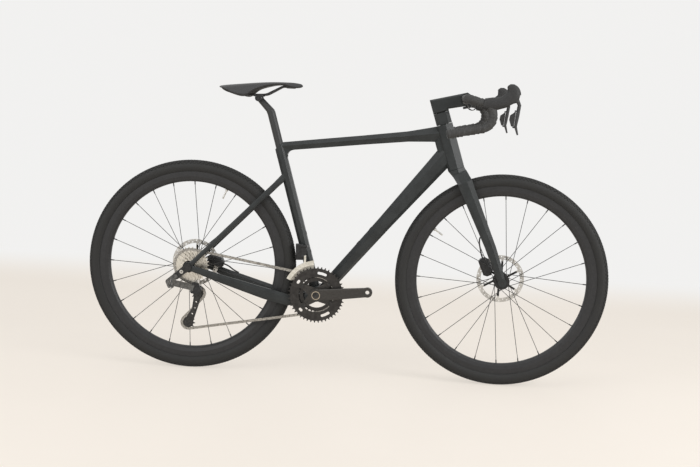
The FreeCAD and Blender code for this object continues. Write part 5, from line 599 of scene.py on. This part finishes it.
def wound_tape():
    """Tape along the bar: its radius falls over each wrap and steps up at the next, on an uneven spiral."""
    fine, lengths = bar_line(BAR_STEP)
    at = np.linspace(TAPE_START, lengths[-1], TAPE_WRAPS * TAPE_ROWS_IN_WRAP)
    line = np.column_stack([np.interp(at, lengths, fine[:, k]) for k in range(3)])
    ways = np.gradient(line, axis=0)
    ways /= np.linalg.norm(ways, axis=1)[:, None]
    first, second = carried_axes(ways)
    turn = turns(TAPE_COLUMNS)
    wraps = (at - TAPE_START) / (lengths[-1] - TAPE_START) * TAPE_WRAPS
    uneven = sum(share * np.sin(rate * wraps + lead) for share, rate, lead in TAPE_DRIFT)
    wound = (wraps + uneven)[:, None] + turn[None, :] / (2 * np.pi)
    phase = wound % 1.0
    fall = np.where(phase < TAPE_FALL, phase / TAPE_FALL, (1 - phase) / (1 - TAPE_FALL))
    swell = TAPE_SWELL * np.sin(TAPE_SWELL_RATE * np.floor(wound))
    radius = BAR_RADIUS + TAPE_THICKNESS + swell - TAPE_STEP * fall
    rings = rings_about(line, radius, first[:, None, :], second[:, None, :], turn)
    return ring_solid("bar_wrap", [rings, mirrored(rings)])


def end_plugs():
    """Domed plug in each bar end: a profile of lengths and radii turned about the bar's last run."""
    end = np.array(BAR_ROUTE[-1])
    way = unit(end - np.array(BAR_ROUTE[-2]))
    first = unit(np.cross(way, [0.0, 1.0, 0.0]))
    second = np.cross(way, first)
    dome = np.linspace(0, np.pi / 2, PLUG_ROWS)
    lengths = np.concatenate([[PLUG_GAP, PLUG_GAP], PLUG_EDGE + PLUG_DOME * np.sin(dome)])
    radii = np.concatenate([[PLUG_NECK, PLUG_RADIUS], PLUG_RADIUS * np.cos(dome) ** PLUG_ROUNDING])
    line = end + way * lengths[:, None]
    rings = rings_about(line, radii[:, None], first, second, turns(PLUG_COLUMNS))
    return ring_solid("bar_end_plugs", [rings, mirrored(rings)])


settle(wound_tape(), "steering", tape_black, ["bar_tape"])
settle(end_plugs(), "steering", black_plastic)


# Lever hoods, in millimetres; the slot's outline is fore and up from the lever's pivot

HOOD_ROWS = 90
HOOD_COLUMNS = 64
HOOD_SQUARENESS = 0.88
HOOD_LIP = 0.9
HOOD_LIP_LENGTH = 2.5
HOOD_KNOT_GAP = 2.0
HOOD_CREASE = math.radians(40)
SLOT_OUTLINE = ((-14, 12), (40, 12), (40, -40), (-20, -40), (-20, -14))
SLOT_HALF_WIDTH = 9.4


def hood_rings():
    """Rubber hood: ovals through the lever body's stations, smooth between them, with a rolled rear lip."""
    table = np.array(HOOD_STATIONS, float)
    knots = np.concatenate([[0], np.cumsum(np.hypot(*np.diff(table[:, :2], axis=0).T) + HOOD_KNOT_GAP)])
    at = np.linspace(0, knots[-1], HOOD_ROWS)
    fore, up, tilt, height, width = curve_through(knots, table, at).T[..., None]
    lip = HOOD_LIP * np.exp(-(at / HOOD_LIP_LENGTH) ** 2)[:, None]
    lean = np.radians(tilt)
    turn = turns(HOOD_COLUMNS)[None, :]
    rise = (height / 2 + lip) * drawn(np.sin(turn), HOOD_SQUARENESS)
    side = (width / 2 + lip) * drawn(np.cos(turn), HOOD_SQUARENESS)
    rings = np.stack([fore - np.sin(lean) * rise, side, up + np.cos(lean) * rise], axis=-1)
    return np.array(HOOD_BASE) + rings * MM


def slot_block(side):
    """Block that cuts the lever's opening out of a hood's front: its outline on two planes."""
    x, y, z = LEVER_PIVOT
    fore, up = np.array(SLOT_OUTLINE).T * MM
    half = np.array([-SLOT_HALF_WIDTH, SLOT_HALF_WIDTH])[:, None] * MM
    rings = np.stack(np.broadcast_arrays(x + fore, y * side + half, z + up), axis=-1)
    return ring_solid("slot", [rings])


def lever_hood(name, rings, side):
    """Hood with the opening that its lever works in."""
    solid = ring_solid(name, [rings])
    block = slot_block(side)
    cut = solid.modifiers.new("opening", "BOOLEAN")
    cut.operation = "DIFFERENCE"
    cut.solver = "EXACT"
    cut.object = block
    bpy.context.view_layer.update()
    shaped = bpy.data.meshes.new_from_object(solid.evaluated_get(bpy.context.evaluated_depsgraph_get()))
    solid.modifiers.clear()
    solid.data = shaped
    bpy.data.objects.remove(block)
    shaped.set_sharp_from_angle(angle=HOOD_CREASE)
    return solid


right_hood = lever_hood("hood_right", hood_rings(), 1)
left_hood = lever_hood("hood_left", mirrored(hood_rings()), -1)
for hood in (right_hood, left_hood):
    settle(hood, "steering", hood_rubber, ["lever_hoods"])


# Saddle, in millimetres

SADDLE_ROWS = 120
SADDLE_COLUMNS = 96
SADDLE_CROWN = 3.17
SADDLE_EDGE_SHARE = 0.5
SADDLE_LOWER_INSET = 2.5
SADDLE_NOSE = 9
SADDLE_TAIL = 8
SADDLE_TIP_SHARE = 0.35


def saddle_pad():
    """Cover over its foam: a crowned skin above, a parallel skin below, both rounded in at nose and tail."""
    table = np.array(SADDLE_STATIONS, float)
    fore_low, fore_high = table[0, 0], table[-1, 0]
    spread = (1 - np.cos(np.linspace(0, np.pi, SADDLE_ROWS))) / 2
    at = fore_low + (fore_high - fore_low) * spread
    half, top, edge, depth = curve_through(table[:, 0], table[:, 1:], at).T[..., None]
    turn = turns(SADDLE_COLUMNS)[None, :]
    upper = turn < np.pi
    crown = 1 - np.abs(np.cos(turn)) ** SADDLE_CROWN
    low_edge = edge - depth * SADDLE_EDGE_SHARE
    y = np.where(upper, half, half - SADDLE_LOWER_INSET) * np.cos(turn)
    z = np.where(upper, edge + (top - edge) * crown, low_edge + (top - depth - low_edge) * crown)
    nose = np.clip((fore_high - at) / SADDLE_NOSE, 0, 1)
    tail = np.clip((at - fore_low) / SADDLE_TAIL, 0, 1)
    closing = (np.sqrt(1 - (1 - nose) ** 2) * np.sqrt(1 - (1 - tail) ** 2))[:, None]
    middle = (top + low_edge) / 2
    y = y * (SADDLE_TIP_SHARE + (1 - SADDLE_TIP_SHARE) * closing)
    z = middle + (z - middle) * closing
    x = np.broadcast_to(at[:, None], y.shape)
    pad = ring_solid("saddle_pad", [np.stack([x, y, z], axis=-1) * MM + np.array(SADDLE_BOLT)])
    smooth = pad.modifiers.new("smooth", "SUBSURF")
    smooth.levels = 1
    smooth.render_levels = 1
    return pad


pad = saddle_pad()
settle(pad, "saddle", leather, ["saddle_cover"])


# Chain: limits of its stretches, and where the bending ones begin and end, in metres

CHAIN_MERGE = 1e-6
CHAIN_CREASE = math.radians(30)
LOWER_FRONT_X = -0.13
LOWER_JOIN_X = -0.40
LOWER_FOOT_X = -0.515
LOWER_FRONT_TOP = 0.26
LOWER_REAR_TOP = 0.17
WRAP_TOP = 0.278
DROP_TOP = 0.2995


def chain_mesh():
    """Points and triangles of the solid chain, from a copy of its mesh whose loose corners are merged."""
    copied = bpy.data.meshes.new("links")
    work = bmesh.new()
    work.from_mesh(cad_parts["chain"].data)
    bmesh.ops.remove_doubles(work, verts=work.verts, dist=CHAIN_MERGE)
    work.to_mesh(copied)
    work.free()
    points = np.empty(3 * len(copied.vertices), np.float32)
    copied.vertices.foreach_get("co", points)
    corners = np.empty(len(copied.loops), np.int32)
    copied.loops.foreach_get("vertex_index", corners)
    bpy.data.meshes.remove(copied)
    return points.reshape(-1, 3), corners.reshape(-1, 3)


def link_centres(points, triangles):
    """Centre of the link that each point is on: the mean of the points that triangles join to it.

    Each point takes the lowest number among the points of its triangles, until nothing changes."""
    numbers = np.arange(len(points))
    changed = True
    while changed:
        lower = numbers.copy()
        np.minimum.at(lower, triangles, numbers[triangles].min(axis=1)[:, None])
        lower = lower[lower]
        changed = bool((lower != numbers).any())
        numbers = lower
    count = np.bincount(numbers)[numbers]
    return np.column_stack([np.bincount(numbers, axis)[numbers] / count for axis in points.T])


def chain_stretches(centres):
    """Which points are on each stretch of the chain, by the centres of their links."""
    x, _, z = centres.T
    rear = x <= LOWER_JOIN_X
    lower_front = ~rear & (x < LOWER_FRONT_X) & (z < LOWER_FRONT_TOP)
    lower_rear = rear & (x > LOWER_FOOT_X) & (z < LOWER_REAR_TOP)
    wrap = rear & (z < WRAP_TOP) & ~lower_rear
    drop = rear & (z >= WRAP_TOP) & (z < DROP_TOP)
    main = ~(lower_front | lower_rear | wrap | drop)
    return {"chain_main": main, "chain_drop": drop, "chain_wrap": wrap, "chain_lower_rear": lower_rear,
            "chain_lower_front": lower_front}


def chain_pieces():
    """The chain's own links, one piece for each stretch, so that each follows the bodies that carry it."""
    points, triangles = chain_mesh()
    pieces = {}
    for name, inside in chain_stretches(link_centres(points, triangles)).items():
        used, faces = np.unique(triangles[inside[triangles[:, 0]]], return_inverse=True)
        piece = make_object(name, points[used], faces.reshape(-1, 3).tolist())
        piece.data.set_sharp_from_angle(angle=CHAIN_CREASE)
        dress(piece, chain_steel, ["chain"])
        pieces[name] = piece
    return pieces


chain = chain_pieces()
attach(chain["chain_main"], "frame")
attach(chain["chain_wrap"], "rear_derailleur_cage")
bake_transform(chain["chain_drop"])
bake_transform(chain["chain_lower_rear"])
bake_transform(chain["chain_lower_front"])


# Tyre tread: rows of blocks by turn round the casing in degrees, number, length, width and height in
# millimetres, and the share of a step that the row is shifted by

TREAD_MIDDLE_ROW = (0.0, 220, 6.5, 3.4, 0.25, 0.0)
TREAD_SIDE_ROWS = ((13.0, 220, 5.5, 3.0, 0.6, 0.5), (26.0, 220, 5.5, 3.0, 0.8, 0.0),
                   (39.0, 160, 8.0, 3.8, 1.5, 0.5), (52.0, 160, 8.0, 4.2, 1.8, 0.0))
TREAD_ROOT = 0.6
TREAD_TAPER = 0.8
BLOCK_ALONG = np.array([-1, 1, 1, -1, -1, 1, 1, -1]) * 0.5
BLOCK_ACROSS = np.array([-1, -1, 1, 1, -1, -1, 1, 1]) * 0.5
BLOCK_TOP = np.array([0, 0, 0, 0, 1, 1, 1, 1]) == 1
BLOCK_FACES = np.array([[0, 3, 2, 1], [4, 5, 6, 7], [0, 1, 5, 4], [1, 2, 6, 5], [2, 3, 7, 6], [3, 0, 4, 7]])


def tread_blocks(name, axle):
    """Blocks set in the casing: a corner is a turn round the axle, one round the casing and a height."""
    rows = [TREAD_MIDDLE_ROW]
    for side in (-1, 1):
        rows += [(side * turn, *rest) for turn, *rest in TREAD_SIDE_ROWS]
    taper = np.where(BLOCK_TOP, TREAD_TAPER, 1.0) * MM
    points = []
    for turn, count, length, width, height, phase in rows:
        centres = 2 * np.pi * (np.arange(count) + phase) / count
        lift = np.where(BLOCK_TOP, height, -TREAD_ROOT) * MM
        section = math.radians(turn) + BLOCK_ACROSS * taper * width / TYRE_SECTION
        reach = TYRE_CROWN + (TYRE_SECTION + lift) * np.cos(section)
        angle = centres[:, None] + BLOCK_ALONG * taper * length / (TYRE_CROWN + TYRE_SECTION)
        y = np.broadcast_to((TYRE_SECTION + lift) * np.sin(section), angle.shape)
        points.append(np.stack([reach * np.cos(angle), y, reach * np.sin(angle)], axis=-1) + np.array(axle))
    points = np.concatenate(points)
    faces = BLOCK_FACES[None, :, :] + (np.arange(len(points)) * len(BLOCK_TOP))[:, None, None]
    return make_object(name, points.reshape(-1, 3), faces.reshape(-1, 4).tolist(), smooth=False)


settle(tread_blocks("front_tread", FRONT_AXLE), "front_wheel", tread_black)
settle(tread_blocks("rear_tread", REAR_AXLE), "rear_wheel", tread_black)


# Studio: tones, distances in metres, and lamps by place, aimed point, size and power in watts

WALL_TONE = (0.885, 0.88, 0.87)
FLOOR_TONE = (0.98, 0.915, 0.835)
FLOOR_DARK = (0.88, 0.81, 0.73)
FLOOR_LIGHT = (0.92, 0.85, 0.77)
SURROUND_LIGHT = 0.45
FLOOR_HALF = 40.0
FLOOR_LEVEL = -0.0004
FLOOR_ROUGHNESS = 0.55
FLOOR_CLOUD_SCALE = 1.4
FLOOR_CLOUD_DETAIL = 5.0
FLOOR_GLOW_SHARE = 0.6
FADE_BEHIND = (1.5, 2.7)
FADE_AROUND = (2.6, 6.0)
LAMPS = (("overhead", (0.0, -0.6, 3.2), (0.0, 0.0, 0.4), (3.6, 2.2), 20),
         ("left_front", (-2.4, -2.8, 2.0), (0.0, 0.0, 0.5), (2.2, 1.6), 46),
         ("right_front", (3.0, -1.7, 1.8), (0.0, 0.0, 0.5), (2.0, 1.6), 62))


def softbox(name, place, target, size, power):
    """Soft lamp that faces a point."""
    data = bpy.data.lights.new(name, "AREA")
    data.shape = "RECTANGLE"
    data.size, data.size_y = size
    data.energy = power
    lamp = bpy.data.objects.new(name, data)
    bpy.context.scene.collection.objects.link(lamp)
    facing = (Vector(place) - Vector(target)).to_track_quat("Z", "Y")
    lamp.matrix_world = Matrix.Translation(place) @ facing.to_matrix().to_4x4()


def fade(tree, value, low, high):
    """Smooth step from zero to one as a value goes from low to high."""
    new = node(tree, "MapRange", Value=value, From_Min=low, From_Max=high)
    new.interpolation_type = "SMOOTHSTEP"
    return new.outputs[0]


def seen_rays(tree):
    """One for rays of the camera and for those that metal and glass send on, and zero for the others."""
    path = tree.nodes.new("ShaderNodeLightPath").outputs
    sent_on = maths(tree, "MAXIMUM", path["Is Glossy Ray"], path["Is Transmission Ray"])
    return maths(tree, "MAXIMUM", path["Is Camera Ray"], sent_on)


def surround():
    """White surround that is seen brighter than it lights."""
    world = bpy.data.worlds.new("surround")
    world.use_nodes = True
    bpy.context.scene.world = world
    tree = world.node_tree
    back = tree.nodes["Background"]
    back.inputs["Color"].default_value = (*WALL_TONE, 1)
    strength = node(tree, "MapRange", Value=seen_rays(tree), To_Min=SURROUND_LIGHT, To_Max=1.0).outputs[0]
    tree.links.new(strength, back.inputs["Strength"])


def floor_finish():
    """Pale cloudy floor that takes shadows near the bike and fades into the surround with distance."""
    material = bpy.data.materials.new("pale_floor")
    material.use_nodes = True
    tree = material.node_tree
    shader = tree.nodes["Principled BSDF"]
    shader.inputs["Roughness"].default_value = FLOOR_ROUGHNESS
    coords = tree.nodes.new("ShaderNodeTexCoord").outputs["Object"]
    cloud = noise(tree, coords, FLOOR_CLOUD_SCALE, FLOOR_CLOUD_DETAIL)
    tree.links.new(ramp(tree, cloud, FLOOR_DARK, FLOOR_LIGHT), shader.inputs["Base Color"])
    away = operate(tree, "VectorMath", "LENGTH", (coords,)).outputs["Value"]
    behind = node(tree, "SeparateXYZ", Vector=coords).outputs["Y"]
    far = maths(tree, "MAXIMUM", fade(tree, behind, *FADE_BEHIND), fade(tree, away, *FADE_AROUND))
    share = node(tree, "MapRange", Value=far, To_Min=FLOOR_GLOW_SHARE).outputs[0]
    glow = node(tree, "Emission", Color=ramp(tree, far, FLOOR_TONE, WALL_TONE, 0.0, 1.0), Strength=1.0)
    mix = tree.nodes.new("ShaderNodeMixShader")
    tree.links.new(maths(tree, "MULTIPLY", share, seen_rays(tree)), mix.inputs[0])
    tree.links.new(shader.outputs[0], mix.inputs[1])
    tree.links.new(glow.outputs[0], mix.inputs[2])
    tree.links.new(mix.outputs[0], tree.nodes["Material Output"].inputs["Surface"])
    return material


def studio():
    """Pale floor in a white surround, with soft lamps above and to the sides."""
    surround()
    corners = ((-1, -1), (1, -1), (1, 1), (-1, 1))
    points = [(x * FLOOR_HALF, y * FLOOR_HALF, FLOOR_LEVEL) for x, y in corners]
    floor = make_object("floor", points, [(0, 1, 2, 3)], smooth=False)
    floor.data.materials.append(floor_finish())
    for lamp in LAMPS:
        softbox(*lamp)


studio()
bpy.context.scene.view_settings.view_transform = "Standard"
